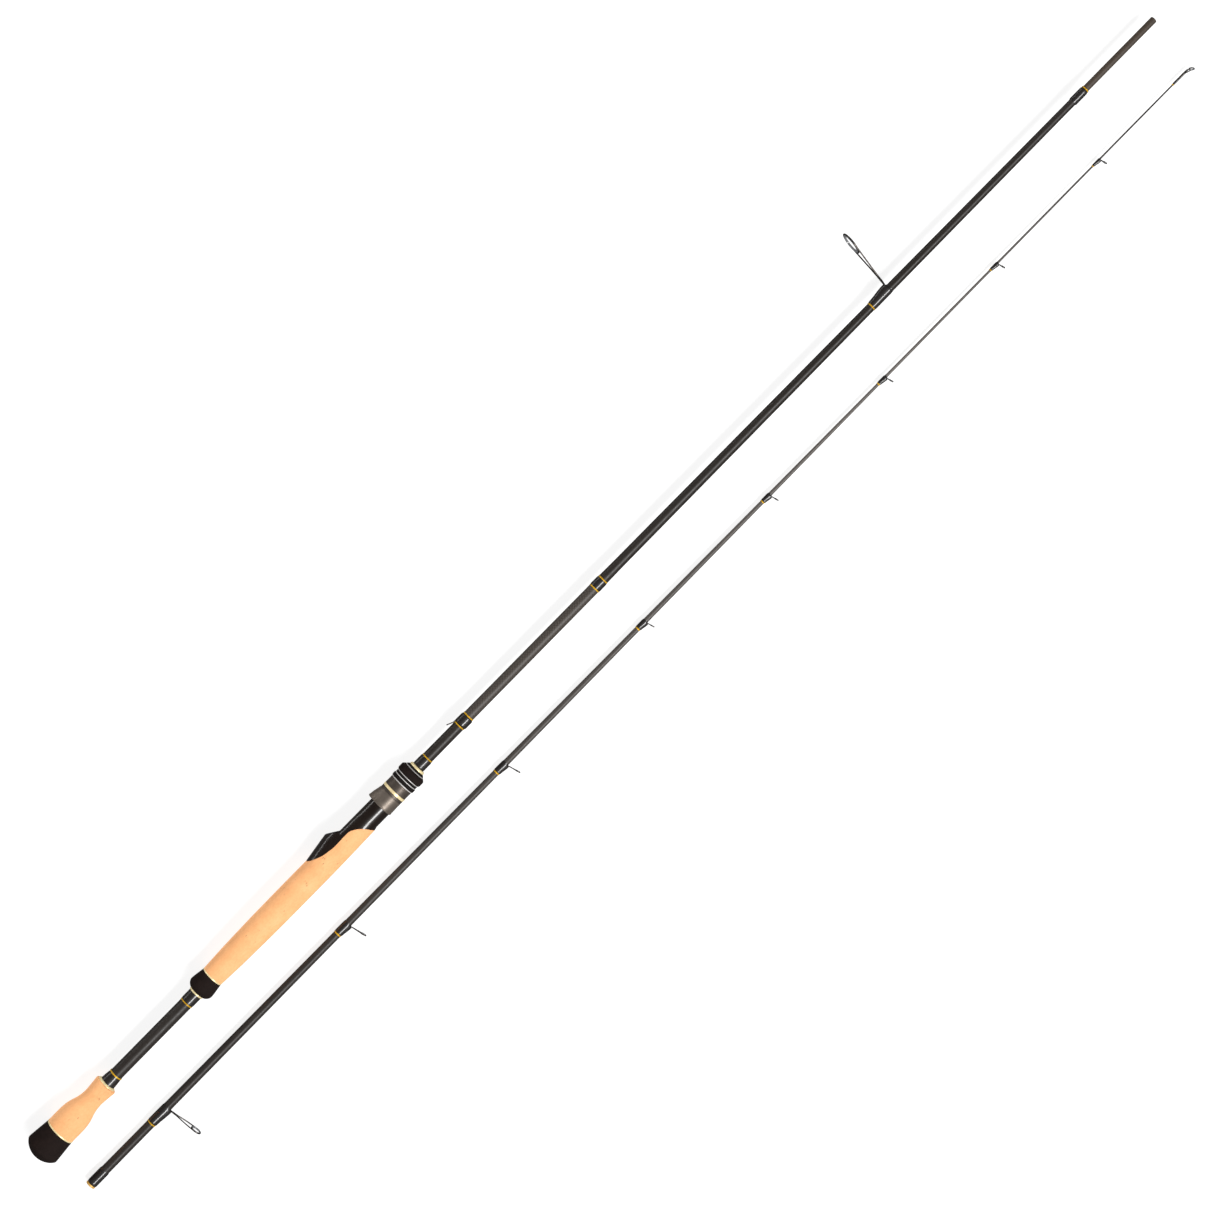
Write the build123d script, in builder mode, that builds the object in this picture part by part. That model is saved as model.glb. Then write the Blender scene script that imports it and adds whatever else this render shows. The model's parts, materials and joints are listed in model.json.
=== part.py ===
from build123d import *

import os
from math import cos, radians, sin

# A two-piece spinning rod, taken apart, its sections side by side along X with the tips at +X.
# The butt section's guide points to +Y and the tip section's guides point to -Y.
# Distances along a section are measured from its own rear end, radii from its own axis.

# ---- layout ----
BUTT_LENGTH = 1340.0
TIP_LEAD = 11.5  # how far the socket end lies ahead of the butt cap
AXIS_GAP = 50.0  # between the two axes, seen from above
CAP_RADIUS = 15.75  # widest part of the butt section, which rests on the ground
STRIPPER_TOP = 59.6  # height of the stripper guide above the butt section's axis
FIRST_TIP_GUIDE_TOP = 36.0
FIRST_TIP_RING_RADIUS = 5.0  # the tip section rests on this ring
BUTT_AXIS_Y = (AXIS_GAP + FIRST_TIP_GUIDE_TOP - STRIPPER_TOP) / 2

# ---- blanks, as (distance, outer radius) stations ----
BUTT_TAPER = [
    (12, 5.8),
    (190, 5.8),
    (456, 5.15),
    (520, 5.0),
    (668, 4.9),
    (697, 4.55),
    (1258, 3.3),
]
TIP_TAPER = [
    (2, 4.2),
    (80, 4.0),
    (336, 3.35),
    (504, 2.85),
    (840, 1.7),
    (1008, 1.2),
    (1176, 0.85),
    (1319, 0.65),
]
BLANK_WALL = 0.9
TIP_BORE_STEP = 86.0  # the tip blank's bore narrows here, in front of its socket sleeve
TIP_BORE_END = 1008.0  # the tip is solid from here on
TIP_BORE = [(TIP_BORE_STEP, 2.9), (336, 2.3), (840, 0.85), (TIP_BORE_END, 0.4)]

# ---- ferrule ----
SPIGOT_RADIUS = 3.0
SPIGOT_START = 1258.0
SPIGOT_TENON_START = 1215.0
SPIGOT_TENON_RADIUS = 2.4
SPIGOT_BORE = 1.9
PLUG_LENGTH = 10.0
PLUG_RADIUS = 1.85
SOCKET_CLEARANCE = 0.04
SOCKET_RADIUS = SPIGOT_RADIUS + SOCKET_CLEARANCE
SLEEVE_RADIUS = 3.6
SLEEVE_END = 84.0
END_RING_LENGTH = 1.9

# ---- rear grip ----
GRIP_BORE = BUTT_TAPER[0][1]
CAP_DOME_RADIUS = 19.5
CAP_CORNER = 8.0
CAP_EDGE = 2.5  # rounding of the cap's corner
CAP_END = 29.0
CAP_FRONT_RADIUS = 13.75
CAP_RING_RADIUS = 13.85
REAR_CORK_START = 30.3
REAR_CORK_RADIUS = 13.65
SHOULDER_START = 44.0
NECK = 68.5
NECK_RADIUS = 9.0
FLARE = 83.5
FLARE_RADIUS = 10.3
REAR_CORK_END = 85.0
REAR_CORK_FACE = 8.8
REAR_CHECK_END = 86.5
REAR_CHECK_RADIUS = 8.7
REAR_WRAP_RADII = (6.9, 6.15)  # at the check and at the gold band
GRIP_WRAP_RADIUS = 6.2

# ---- main grip ----
GRIP_CHECK_START = 191.8
GRIP_CHECK_RADIUS = 6.9
COLLAR_START = 193.5
COLLAR_REAR_RADIUS = 6.8
COLLAR_PEAK = 199.0
COLLAR_RADIUS = 11.7
COLLAR_END = 211.2
COLLAR_FRONT_RADIUS = 10.05
COLLAR_TRIM_RADIUS = 10.1
CORK_START = 212.4
CORK_END = 394.9
CORK_RADIUS = 12.0
CORK_FRONT_RADIUS = 11.2

# ---- reel seat ----
SEAT_START = 330.0
SEAT_BORE = 7.2
SEAT_CORE = 8.4
HOOD_START = 336.0
HOOD_PEAK = 362.5
HOOD_TOP = 16.2
LAND_START = 373.2
LAND_END = 412.0
LAND_HEIGHT = 9.5  # the flat that a reel's foot sits on
KEYWAY_STEP = 0.1  # the flat goes on a little lower as the moving hood's keyway
BARREL_START = 398.0
BARREL_RADIUS = 10.4
THREAD_START = 414.3
THREAD_RADIUS = 9.9
THREAD_END = 438.0
POCKET_FLOOR = 9.2
FIT = 0.05  # radial clearance of the hood and the nut on the seat

# ---- moving hood and lock nut ----
MOVING_HOOD_START = 412.8
MOVING_HOOD_END = 425.8
MOVING_HOOD_RADIUS = 11.4
HOOD_WALL_FRONT = 2.5  # wall left in front of the moving hood's pocket
COLLAR_RING_END = 428.1
COLLAR_RING_RADIUS = 11.1
NUT_START = 428.3
NUT_CORE_END = 451.5
NUT_CORE_RADIUS = 10.6
GOLD_RING_END = 430.8
GOLD_RING_RADIUS = 11.25
NUT_SLEEVE_END = 438.4
NUT_SLEEVE_RADIUS = 11.1
SILVER_RINGS = [(438.4, 439.4), (442.6, 443.4), (445.6, 446.4)]
SILVER_RADIUS = 11.35
BLACK_RINGS = [(439.4, 442.6, 11.8, 0.5), (443.4, 445.6, 11.2, 0.2)]  # start, end, radius, edge
KNOB_START = 446.4
KNOB_RADIUS = 12.2
KNOB_FRONT = 452.2  # inside face of the knob's front wall
KNOB_END = 453.9
KNOB_END_RADIUS = 10.15
TRIM_END = 454.5
NUT_END = 456.0
NUT_MOUTH = 5.7  # the nut's front end clears the blank
FRONT_CHECK_START = 456.3
FRONT_CHECK_STEP = 457.2
FRONT_CHECK_RADIUS = 7.5
FRONT_CHECK_END = 458.4
SEAT_ARBORS = [(338.0, 352.0), (380.0, 394.0), (422.0, 436.0)]

# ---- thread work ----
WRAP_HEIGHT = 0.42
BAND_HEIGHT = 0.3
BAND_WIDTH = 1.1
BUTT_BANDS = [96.2, 180.9, 469.3, 507.4, 518.5, 669.3, 679.6, 1001.1, 1257.1]
TIP_BANDS = [74.0, 298.0, 489.0, 659.1, 809.2, 948.7, 1083.6, 1206.7, 1303.2]
SOCKET_WRAP_END = 18.3
FERRULE_WRAP_START = 1241.8

# ---- hook keeper ----
WIRE_RADIUS = 0.45
KEEPER_WIDTH = 3.8
KEEPER_FRONT = 514.0
KEEPER_BEND = 506.0
KEEPER_TIP = (500.6, 7.8)

# ---- guides of the tip section: top above the axis, ring radius, lean, base behind its band ----
TIP_GUIDES = [
    (FIRST_TIP_GUIDE_TOP, FIRST_TIP_RING_RADIUS, 7.0, 18.5),
    (18.7, 3.0, 13.0, 12.0),
    (14.7, 2.6, 15.0, 10.8),
    (9.3, 2.2, 15.0, 9.0),
    (9.0, 2.2, 14.0, 8.6),
    (8.0, 2.15, 14.0, 8.6),
    (7.7, 2.1, 14.0, 8.4),
    (7.2, 2.1, 14.0, 8.4),
]

# ---- tip-top ----
TIP_TOP_START = 1311.0
TIP_TOP_END = 1322.0
TUBE_RADIUS = 1.05
TIP_RING_RADIUS = 2.6
TIP_RING_HOLE = 2.05
TIP_RING_CENTRE = Vector(1323.8, 2.1, 0)
TIP_RING_LEAN = 45.0
ARM_START = Vector(1317.4, 0, 0)

BUTT = Plane(
    origin=(-BUTT_LENGTH / 2, BUTT_AXIS_Y, CAP_RADIUS),
    x_dir=(1, 0, 0),
    z_dir=(0, 0, 1),
)
TIP = Plane(
    origin=(TIP_LEAD - BUTT_LENGTH / 2, BUTT_AXIS_Y - AXIS_GAP, FIRST_TIP_RING_RADIUS),
    x_dir=(1, 0, 0),
    z_dir=(0, 0, -1),
)

os.makedirs("parts", exist_ok=True)


def save(piece, name):
    """Label a finished piece and write it to its own file."""
    piece.label = name
    export_step(piece, f"parts/{name}.step")


def radius_at(taper, distance):
    """Outer radius of a tapered blank at a distance from its section's rear end."""
    for (start, first), (end, last) in zip(taper, taper[1:]):
        if start <= distance <= end:
            return first + (last - first) * (distance - start) / (end - start)
    raise ValueError(f"{distance} is off the blank")


def axis_of(section):
    """The long axis of a section."""
    return Axis(section.origin, section.x_dir)


def across(section, distance, shift=0.0):
    """Plane square to a section, its x axis toward the guides and its origin shifted that way."""
    centre = section.from_local_coords(Vector(distance, shift, 0))
    return Plane(origin=centre, x_dir=section.y_dir, z_dir=section.x_dir)


def turned(section, *corners):
    """Solid turned about a section's axis from its half outline of (distance, radius) corners."""
    with BuildPart() as piece:
        with BuildSketch(section):
            with BuildLine():
                Polyline(*corners, close=True)
            make_face()
        revolve(axis=axis_of(section))
    return piece.part


def ring(section, start, end, inner, outer, edge=0.0):
    """Plain ring with an optional chamfer on its two outer edges."""
    if edge == 0.0:
        return turned(section, (start, inner), (start, outer), (end, outer), (end, inner))
    return turned(
        section,
        (start, inner),
        (start, outer - edge),
        (start + edge, outer),
        (end - edge, outer),
        (end, outer - edge),
        (end, inner),
    )


def band(section, taper, start, end, height, fade):
    """Thread wrap of an even height over a blank, faded out at both ends."""
    first = radius_at(taper, start)
    last = radius_at(taper, end)
    return turned(
        section,
        (start, first),
        (start, first + 0.4 * height),
        (start + fade, radius_at(taper, start + fade) + height),
        (end - fade, radius_at(taper, end - fade) + height),
        (end, last + 0.4 * height),
        (end, last),
    )


def blank_core(section, taper, start, end):
    """Solid of the space that the blank takes between two distances."""
    return turned(
        section,
        (start, 0),
        (start, radius_at(taper, start)),
        (end, radius_at(taper, end)),
        (end, 0),
    )


def swelling(section, shapes):
    """Loft through ellipses given as (distance, shift toward the guides, half height, half width)."""
    with BuildPart() as body:
        for distance, shift, high, wide in shapes:
            with BuildSketch(across(section, distance, shift)):
                Ellipse(high, wide)
        loft(ruled=True)
    return body.part


class Guide:
    """Measures of a single-foot guide whose frame leans toward the tip."""

    def __init__(self, section, taper, base, top, radius, lean, plate, foot):
        self.section = section
        self.taper = taper
        self.base = base
        self.radius = radius
        self.plate = plate
        self.foot = foot
        self.hole = radius - 0.2 * plate - 0.05 * radius - 0.15
        self.stem = 0.2 * radius + 0.35  # half width of foot and stem
        self.seat = radius_at(taper, base)
        self.up = (sin(radians(lean)), cos(radians(lean)))
        self.ahead = (cos(radians(lean)), -sin(radians(lean)))
        self.centre = (top - self.seat) / cos(radians(lean)) - radius
        self.fork = 0.3 * (self.centre - radius)

    def point(self, rise, forward=0.0):
        """Point in the section's side view, along the frame and ahead of it."""
        return (
            self.base + rise * self.up[0] + forward * self.ahead[0],
            self.seat + rise * self.up[1] + forward * self.ahead[1],
        )

    def normal(self):
        """Direction of the line through the ring, in the rod's own frame."""
        return self.section.x_dir * self.ahead[0] + self.section.y_dir * self.ahead[1]

    def face(self):
        """Plane of the frame, its y axis up the frame from the foot."""
        return Plane(
            origin=self.section.from_local_coords(Vector(self.base, self.seat, 0)),
            x_dir=-self.section.z_dir,
            z_dir=self.normal(),
        )

    def ring_centre(self):
        """Centre of the ring."""
        along, high = self.point(self.centre)
        return self.section.from_local_coords(Vector(along, high, 0))


def guide_frame(guide):
    """Foot, stem, two legs and ring holder, bent from one plate."""
    plate = guide.plate
    foot_start = guide.base - guide.foot
    foot_seat = radius_at(guide.taper, foot_start)
    sink = 0.2
    with BuildPart() as frame:
        with BuildSketch(guide.section):
            with BuildLine():
                Polyline(
                    (foot_start, foot_seat - sink),
                    (foot_start, foot_seat + 0.2 * plate),
                    (guide.base - 1.6 * plate, guide.seat + 0.9 * plate),
                    guide.point(1.9 * plate, -plate / 2),
                    guide.point(guide.fork, -plate / 2),
                    guide.point(guide.fork, plate / 2),
                    guide.point(0.2 * plate, plate / 2),
                    (guide.base, guide.seat - sink),
                    close=True,
                )
            make_face()
        extrude(amount=guide.stem, both=True)
        with BuildSketch(guide.face()):
            with Locations((0, guide.centre)):
                Circle(guide.radius)
            with Locations((0, guide.fork)):
                Circle(guide.stem)
            make_hull()
        extrude(amount=plate / 2, both=True)
        if guide.fork > 2.5 * guide.stem:
            with BuildSketch(guide.face()):
                with Locations((0, guide.centre)):
                    Circle(guide.radius - 1.1 * plate)
                with Locations((0, guide.fork + 2.0 * guide.stem)):
                    Circle(0.3 * guide.stem)
                make_hull()
            extrude(amount=plate, both=True, mode=Mode.SUBTRACT)
            with BuildSketch(guide.face()):
                with Locations((0, guide.centre)):
                    Circle(guide.radius)
            extrude(amount=plate / 2, both=True)
        with BuildSketch(guide.face()):
            with Locations((0, guide.centre)):
                Circle(guide.hole)
        extrude(amount=plate, both=True, mode=Mode.SUBTRACT)
        blank = blank_core(guide.section, guide.taper, foot_start - 1, guide.base + 2 * plate)
        add(blank, mode=Mode.SUBTRACT)
    return frame.part


def ceramic_ring(centre, normal, side, outer, inner, thick):
    """Rounded ceramic ring, flush in its holder and proud of both faces."""
    with BuildPart() as hoop:
        with BuildSketch(Plane(origin=centre, x_dir=normal, z_dir=side)) as profile:
            with Locations((0, (outer + inner) / 2)):
                Rectangle(thick, outer - inner)
            bore_corners = profile.vertices().sort_by(Axis.Y)[:2]
            fillet(bore_corners, 0.45 * min(thick, outer - inner))
        revolve(axis=Axis(centre, normal))
    return hoop.part


def guide_ring(guide):
    """Ceramic ring of a guide."""
    inner = 0.8 * guide.hole
    thick = 1.5 * guide.plate
    centre = guide.ring_centre()
    return ceramic_ring(centre, guide.normal(), guide.section.z_dir, guide.hole, inner, thick)


def guide_wrap(guide, frame, start):
    """Thread wrap that climbs over a guide's foot and closes round the base of its stem."""
    rise = 0.5 * guide.plate
    end = guide.base - 0.5 * guide.plate
    shapes = [
        (start, 0.0, WRAP_HEIGHT),
        (end, rise, WRAP_HEIGHT),
        (guide.base + guide.plate, 0.0, 0.1),
    ]
    with BuildPart() as wrap:
        for distance, grow, height in shapes:
            with BuildSketch(across(guide.section, distance, grow)):
                Circle(radius_at(guide.taper, distance) + height + grow)
        loft(ruled=True)
        blank = blank_core(guide.section, guide.taper, start - 1, guide.base + 2 * guide.plate)
        add(blank, mode=Mode.SUBTRACT)
        add(frame, mode=Mode.SUBTRACT)
    return wrap.part


# ---- butt blank and ferrule spigot ----
butt_bore = [(distance, radius - BLANK_WALL) for distance, radius in reversed(BUTT_TAPER)]
save(turned(BUTT, *BUTT_TAPER, *butt_bore), "butt_blank")

with BuildPart() as ferrule_spigot:
    with BuildSketch(BUTT):
        with BuildLine():
            Polyline(
                (SPIGOT_TENON_START, SPIGOT_BORE),
                (SPIGOT_TENON_START, SPIGOT_TENON_RADIUS),
                (SPIGOT_START, SPIGOT_TENON_RADIUS),
                (SPIGOT_START, SPIGOT_RADIUS),
                (BUTT_LENGTH, SPIGOT_RADIUS),
                (BUTT_LENGTH, SPIGOT_BORE),
                close=True,
            )
        make_face()
    revolve(axis=axis_of(BUTT))
    front_edges = ferrule_spigot.edges().filter_by(GeomType.CIRCLE).group_by(Axis.X)[-1]
    chamfer(front_edges.sort_by(SortBy.RADIUS)[-1], 0.4)
save(ferrule_spigot.part, "ferrule_spigot")
save(ring(BUTT, BUTT_LENGTH - PLUG_LENGTH, BUTT_LENGTH, 0, PLUG_RADIUS), "spigot_plug")

# ---- rear grip ----
with BuildPart() as butt_cap:
    with BuildSketch(BUTT) as cap_outline:
        with BuildLine():
            RadiusArc((0, 0), (CAP_CORNER, CAP_RADIUS), CAP_DOME_RADIUS)
            Polyline(
                (CAP_CORNER, CAP_RADIUS),
                (CAP_END, CAP_FRONT_RADIUS),
                (CAP_END, GRIP_BORE),
                (BUTT_TAPER[0][0], GRIP_BORE),
                (BUTT_TAPER[0][0], 0),
                (0, 0),
            )
        make_face()
        corner = cap_outline.vertices().sort_by(Axis.Y)[-1]
        fillet(corner, CAP_EDGE)
    revolve(axis=axis_of(BUTT))
save(butt_cap.part, "butt_cap")

save(ring(BUTT, CAP_END, REAR_CORK_START, GRIP_BORE, CAP_RING_RADIUS, 0.3), "butt_cap_ring")

with BuildPart() as rear_cork:
    with BuildSketch(BUTT):
        with BuildLine():
            Polyline(
                (REAR_CORK_END, GRIP_BORE),
                (REAR_CORK_START, GRIP_BORE),
                (REAR_CORK_START, REAR_CORK_RADIUS),
                (SHOULDER_START, REAR_CORK_RADIUS),
            )
            Spline(
                (SHOULDER_START, REAR_CORK_RADIUS),
                (54.0, 12.2),
                (61.0, 9.9),
                (NECK, NECK_RADIUS),
                tangents=((1, 0), (1, 0)),
            )
            Spline(
                (NECK, NECK_RADIUS),
                (77.0, 9.6),
                (FLARE, FLARE_RADIUS),
                tangents=((1, 0), (1, 0.06)),
            )
            RadiusArc((FLARE, FLARE_RADIUS), (REAR_CORK_END, REAR_CORK_FACE), 1.6)
            Line((REAR_CORK_END, REAR_CORK_FACE), (REAR_CORK_END, GRIP_BORE))
        make_face()
    revolve(axis=axis_of(BUTT))
save(rear_cork.part, "rear_cork")
save(ring(BUTT, REAR_CORK_END, REAR_CHECK_END, GRIP_BORE, REAR_CHECK_RADIUS, 0.5), "rear_check")

with BuildPart() as handle_wraps:
    add(
        turned(
            BUTT,
            (REAR_CHECK_END, GRIP_BORE),
            (REAR_CHECK_END, REAR_WRAP_RADII[0]),
            (BUTT_BANDS[0] - BAND_WIDTH / 2, REAR_WRAP_RADII[1]),
            (BUTT_BANDS[0] - BAND_WIDTH / 2, GRIP_BORE),
        )
    )
    grip_wrap_start = BUTT_BANDS[1] + BAND_WIDTH / 2
    add(ring(BUTT, grip_wrap_start, GRIP_CHECK_START, GRIP_BORE, GRIP_WRAP_RADIUS, 0.2))
save(handle_wraps.part, "handle_wraps")

# ---- main grip ----
save(ring(BUTT, GRIP_CHECK_START, COLLAR_START, GRIP_BORE, GRIP_CHECK_RADIUS, 0.4), "grip_check")

with BuildPart() as grip_collar:
    with BuildSketch(BUTT):
        bore_start = radius_at(BUTT_TAPER, COLLAR_START)
        bore_end = radius_at(BUTT_TAPER, COLLAR_END)
        with BuildLine():
            Polyline(
                (COLLAR_START, COLLAR_REAR_RADIUS),
                (COLLAR_START, bore_start),
                (COLLAR_END, bore_end),
                (COLLAR_END, COLLAR_FRONT_RADIUS),
            )
            Spline(
                (COLLAR_START, COLLAR_REAR_RADIUS),
                (195.0, 9.8),
                (COLLAR_PEAK, COLLAR_RADIUS),
                tangents=((0.25, 1), (1, 0)),
            )
            Line((COLLAR_PEAK, COLLAR_RADIUS), (COLLAR_END, COLLAR_FRONT_RADIUS))
        make_face()
    revolve(axis=axis_of(BUTT))
save(grip_collar.part, "grip_collar")
save(
    turned(
        BUTT,
        (COLLAR_END, radius_at(BUTT_TAPER, COLLAR_END)),
        (COLLAR_END, COLLAR_TRIM_RADIUS),
        (CORK_START, COLLAR_TRIM_RADIUS),
        (CORK_START, radius_at(BUTT_TAPER, CORK_START)),
    ),
    "grip_collar_ring",
)


def seat_edge():
    """The S-shaped edge between cork and reel seat, in the side view, from rear top to front underside."""
    Spline((335.5, 13.5), (342.5, 8.2), (357.8, 3.6), (379.0, 3.4), tangents=((0.5, -1), (1, 0)))
    Spline((379.0, 3.4), (388.4, -1.8), (396.4, -14.0), tangents=((1, -0.15), (0.45, -1)))


with BuildPart() as main_cork:
    with BuildSketch(BUTT):
        with BuildLine():
            Spline(
                (CORK_START, COLLAR_FRONT_RADIUS),
                (245.0, 11.35),
                (285.0, CORK_RADIUS),
                (350.0, CORK_RADIUS),
                (CORK_END, CORK_FRONT_RADIUS),
            )
            Polyline(
                (CORK_END, CORK_FRONT_RADIUS),
                (CORK_END, SEAT_CORE),
                (SEAT_START, SEAT_CORE),
                (SEAT_START, radius_at(BUTT_TAPER, SEAT_START)),
                (CORK_START, radius_at(BUTT_TAPER, CORK_START)),
                (CORK_START, COLLAR_FRONT_RADIUS),
            )
        make_face()
    revolve(axis=axis_of(BUTT))
    with BuildSketch(BUTT):
        with BuildLine():
            seat_edge()
            Polyline((396.4, -14.0), (400.0, -14.0), (400.0, 14.0), (335.5, 14.0), (335.5, 13.5))
        make_face()
    extrude(amount=20, both=True, mode=Mode.SUBTRACT)
save(main_cork.part, "main_cork")

# ---- reel seat ----
with BuildPart() as foot_pocket:
    add(swelling(BUTT, [(350.0, 1.6, 11.7, 10.3), (LAND_START, 3.0, 12.5, 10.3)]))
    with BuildSketch(BUTT):
        with Locations((362.0, POCKET_FLOOR - 20)):
            Rectangle(40, 40)
    extrude(amount=20, both=True, mode=Mode.SUBTRACT)

with BuildPart() as cork_room:
    with BuildSketch(BUTT):
        with BuildLine():
            seat_edge()
            Polyline((396.4, -14.0), (396.4, -18.0), (325.0, -18.0), (325.0, 13.5), (335.5, 13.5))
        make_face()
    extrude(amount=20, both=True)
    add(ring(BUTT, 320.0, 400.0, 0, SEAT_CORE), mode=Mode.SUBTRACT)

with BuildPart() as reel_seat:
    with BuildSketch(BUTT):
        with BuildLine():
            Polyline(
                (SEAT_START, SEAT_BORE),
                (SEAT_START, CORK_RADIUS),
                (365.0, CORK_RADIUS - 0.1),
                (CORK_END, CORK_FRONT_RADIUS),
                (BARREL_START, BARREL_RADIUS),
                (THREAD_START, BARREL_RADIUS),
                (THREAD_START, THREAD_RADIUS),
                (THREAD_END, THREAD_RADIUS),
                (THREAD_END, SEAT_BORE),
                close=True,
            )
        make_face()
    revolve(axis=axis_of(BUTT))
    # the fixed hood swells toward the guide side, and its mouth is cut at a slant
    hood = [
        (HOOD_START - 3, 0.0, 11.6, 11.6),
        (HOOD_PEAK, 3.0, 13.2, 11.2),
        (LAND_START, 3.0, 13.2, 11.2),
    ]
    add(swelling(BUTT, hood))
    with BuildSketch(BUTT):
        with BuildLine():
            Polyline(
                (HOOD_PEAK + 1.0, 20.0),
                (HOOD_PEAK + 1.0, HOOD_TOP),
                (LAND_START, LAND_HEIGHT),
                (LAND_END, LAND_HEIGHT),
                (LAND_END, LAND_HEIGHT - KEYWAY_STEP),
                (THREAD_END + 1, LAND_HEIGHT - KEYWAY_STEP),
                (THREAD_END + 1, 20.0),
                close=True,
            )
        make_face()
    extrude(amount=20, both=True, mode=Mode.SUBTRACT)
    add(cork_room.part, mode=Mode.SUBTRACT)
    add(foot_pocket.part, mode=Mode.SUBTRACT)
    add(ring(BUTT, SEAT_START - 1, THREAD_END + 1, 0, SEAT_BORE), mode=Mode.SUBTRACT)
save(reel_seat.part, "reel_seat")

with BuildPart() as seat_arbors:
    for start, end in SEAT_ARBORS:
        add(
            turned(
                BUTT,
                (start, radius_at(BUTT_TAPER, start)),
                (start, SEAT_BORE),
                (end, SEAT_BORE),
                (end, radius_at(BUTT_TAPER, end)),
            )
        )
save(seat_arbors.part, "seat_arbors")

# ---- moving hood ----
with BuildPart() as moving_hood:
    add(ring(BUTT, MOVING_HOOD_START, MOVING_HOOD_END, 0, MOVING_HOOD_RADIUS, 0.3))
    add(
        swelling(
            BUTT,
            [
                (MOVING_HOOD_START, 4.5, 9.0, 9.3),
                (MOVING_HOOD_START + 7, 4.2, 8.6, 9.3),
                (MOVING_HOOD_END, 3.0, 8.2, 9.0),
            ],
        )
    )
    with BuildSketch(across(BUTT, MOVING_HOOD_START - 1)):
        Circle(BARREL_RADIUS + FIT)
        with Locations((LAND_HEIGHT + FIT + 5, 0)):
            Rectangle(10, 30, mode=Mode.SUBTRACT)
    extrude(amount=MOVING_HOOD_END - MOVING_HOOD_START + 2, mode=Mode.SUBTRACT)
    # pocket for the front end of a reel's foot
    pocket_end = MOVING_HOOD_END - HOOD_WALL_FRONT
    pocket = [(MOVING_HOOD_START - 1, 4.5, 7.9, 8.2), (pocket_end, 4.0, 7.4, 7.9)]
    add(swelling(BUTT, pocket), mode=Mode.SUBTRACT)
save(moving_hood.part, "moving_hood")
collar_bore = BARREL_RADIUS + FIT
save(ring(BUTT, MOVING_HOOD_END, COLLAR_RING_END, collar_bore, COLLAR_RING_RADIUS, 0.15), "hood_collar")

# ---- lock nut ----
save(ring(BUTT, NUT_START, NUT_CORE_END, THREAD_RADIUS + FIT, NUT_CORE_RADIUS), "nut_core")
save(ring(BUTT, NUT_START, GOLD_RING_END, NUT_CORE_RADIUS, GOLD_RING_RADIUS, 0.3), "nut_gold_ring")
save(ring(BUTT, GOLD_RING_END, NUT_SLEEVE_END, NUT_CORE_RADIUS, NUT_SLEEVE_RADIUS, 0.1), "nut_sleeve")

with BuildPart() as nut_black_rings:
    for start, end, radius, edge in BLACK_RINGS:
        add(ring(BUTT, start, end, NUT_CORE_RADIUS, radius, edge))
save(nut_black_rings.part, "nut_black_rings")

with BuildPart() as nut_silver_rings:
    for start, end in SILVER_RINGS:
        add(ring(BUTT, start, end, NUT_CORE_RADIUS, SILVER_RADIUS, 0.2))
    add(
        turned(
            BUTT,
            (KNOB_END, NUT_MOUTH),
            (KNOB_END, KNOB_END_RADIUS),
            (TRIM_END, KNOB_END_RADIUS - 0.6),
            (TRIM_END, NUT_MOUTH),
        )
    )
save(nut_silver_rings.part, "nut_silver_rings")

save(
    turned(
        BUTT,
        (KNOB_START, NUT_CORE_RADIUS),
        (KNOB_START, KNOB_RADIUS - 0.6),
        (KNOB_START + 0.8, KNOB_RADIUS),
        (KNOB_FRONT - 0.2, KNOB_RADIUS),
        (KNOB_END, KNOB_END_RADIUS),
        (KNOB_END, NUT_MOUTH),
        (KNOB_FRONT, NUT_MOUTH),
        (KNOB_FRONT, THREAD_RADIUS + 0.1),
        (NUT_CORE_END, THREAD_RADIUS + 0.1),
        (NUT_CORE_END, NUT_CORE_RADIUS),
    ),
    "fore_grip",
)
save(
    turned(
        BUTT,
        (TRIM_END, NUT_MOUTH),
        (TRIM_END, KNOB_END_RADIUS - 0.65),
        (NUT_END, 7.9),
        (NUT_END, NUT_MOUTH),
    ),
    "nut_end_cap",
)

# ---- front of the handle ----
save(
    turned(
        BUTT,
        (FRONT_CHECK_START, radius_at(BUTT_TAPER, FRONT_CHECK_START)),
        (FRONT_CHECK_START, FRONT_CHECK_RADIUS),
        (FRONT_CHECK_STEP, FRONT_CHECK_RADIUS),
        (FRONT_CHECK_END, FRONT_CHECK_RADIUS - 0.9),
        (FRONT_CHECK_END, radius_at(BUTT_TAPER, FRONT_CHECK_END)),
    ),
    "front_check",
)
front_wrap_end = BUTT_BANDS[2] - BAND_WIDTH / 2
save(band(BUTT, BUTT_TAPER, FRONT_CHECK_END, front_wrap_end, 0.55, 0.8), "front_wrap")

keeper_seat = radius_at(BUTT_TAPER, KEEPER_FRONT) + WIRE_RADIUS - 0.1
with BuildPart() as hook_keeper:
    with BuildLine(BUTT) as wire:
        half = KEEPER_WIDTH / 2
        keeper_route = [
            (KEEPER_FRONT, keeper_seat, half),
            (KEEPER_BEND, keeper_seat + 0.1, half),
            (*KEEPER_TIP, half),
        ]
        FilletPolyline(
            *keeper_route,
            *[(along, high, -side) for along, high, side in reversed(keeper_route)],
            radius=1.3,
        )
    with BuildSketch(Plane(origin=wire.line @ 0, z_dir=wire.line % 0)):
        Circle(WIRE_RADIUS)
    sweep()
    add(blank_core(BUTT, BUTT_TAPER, 495, 517), mode=Mode.SUBTRACT)
save(hook_keeper.part, "hook_keeper")

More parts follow.
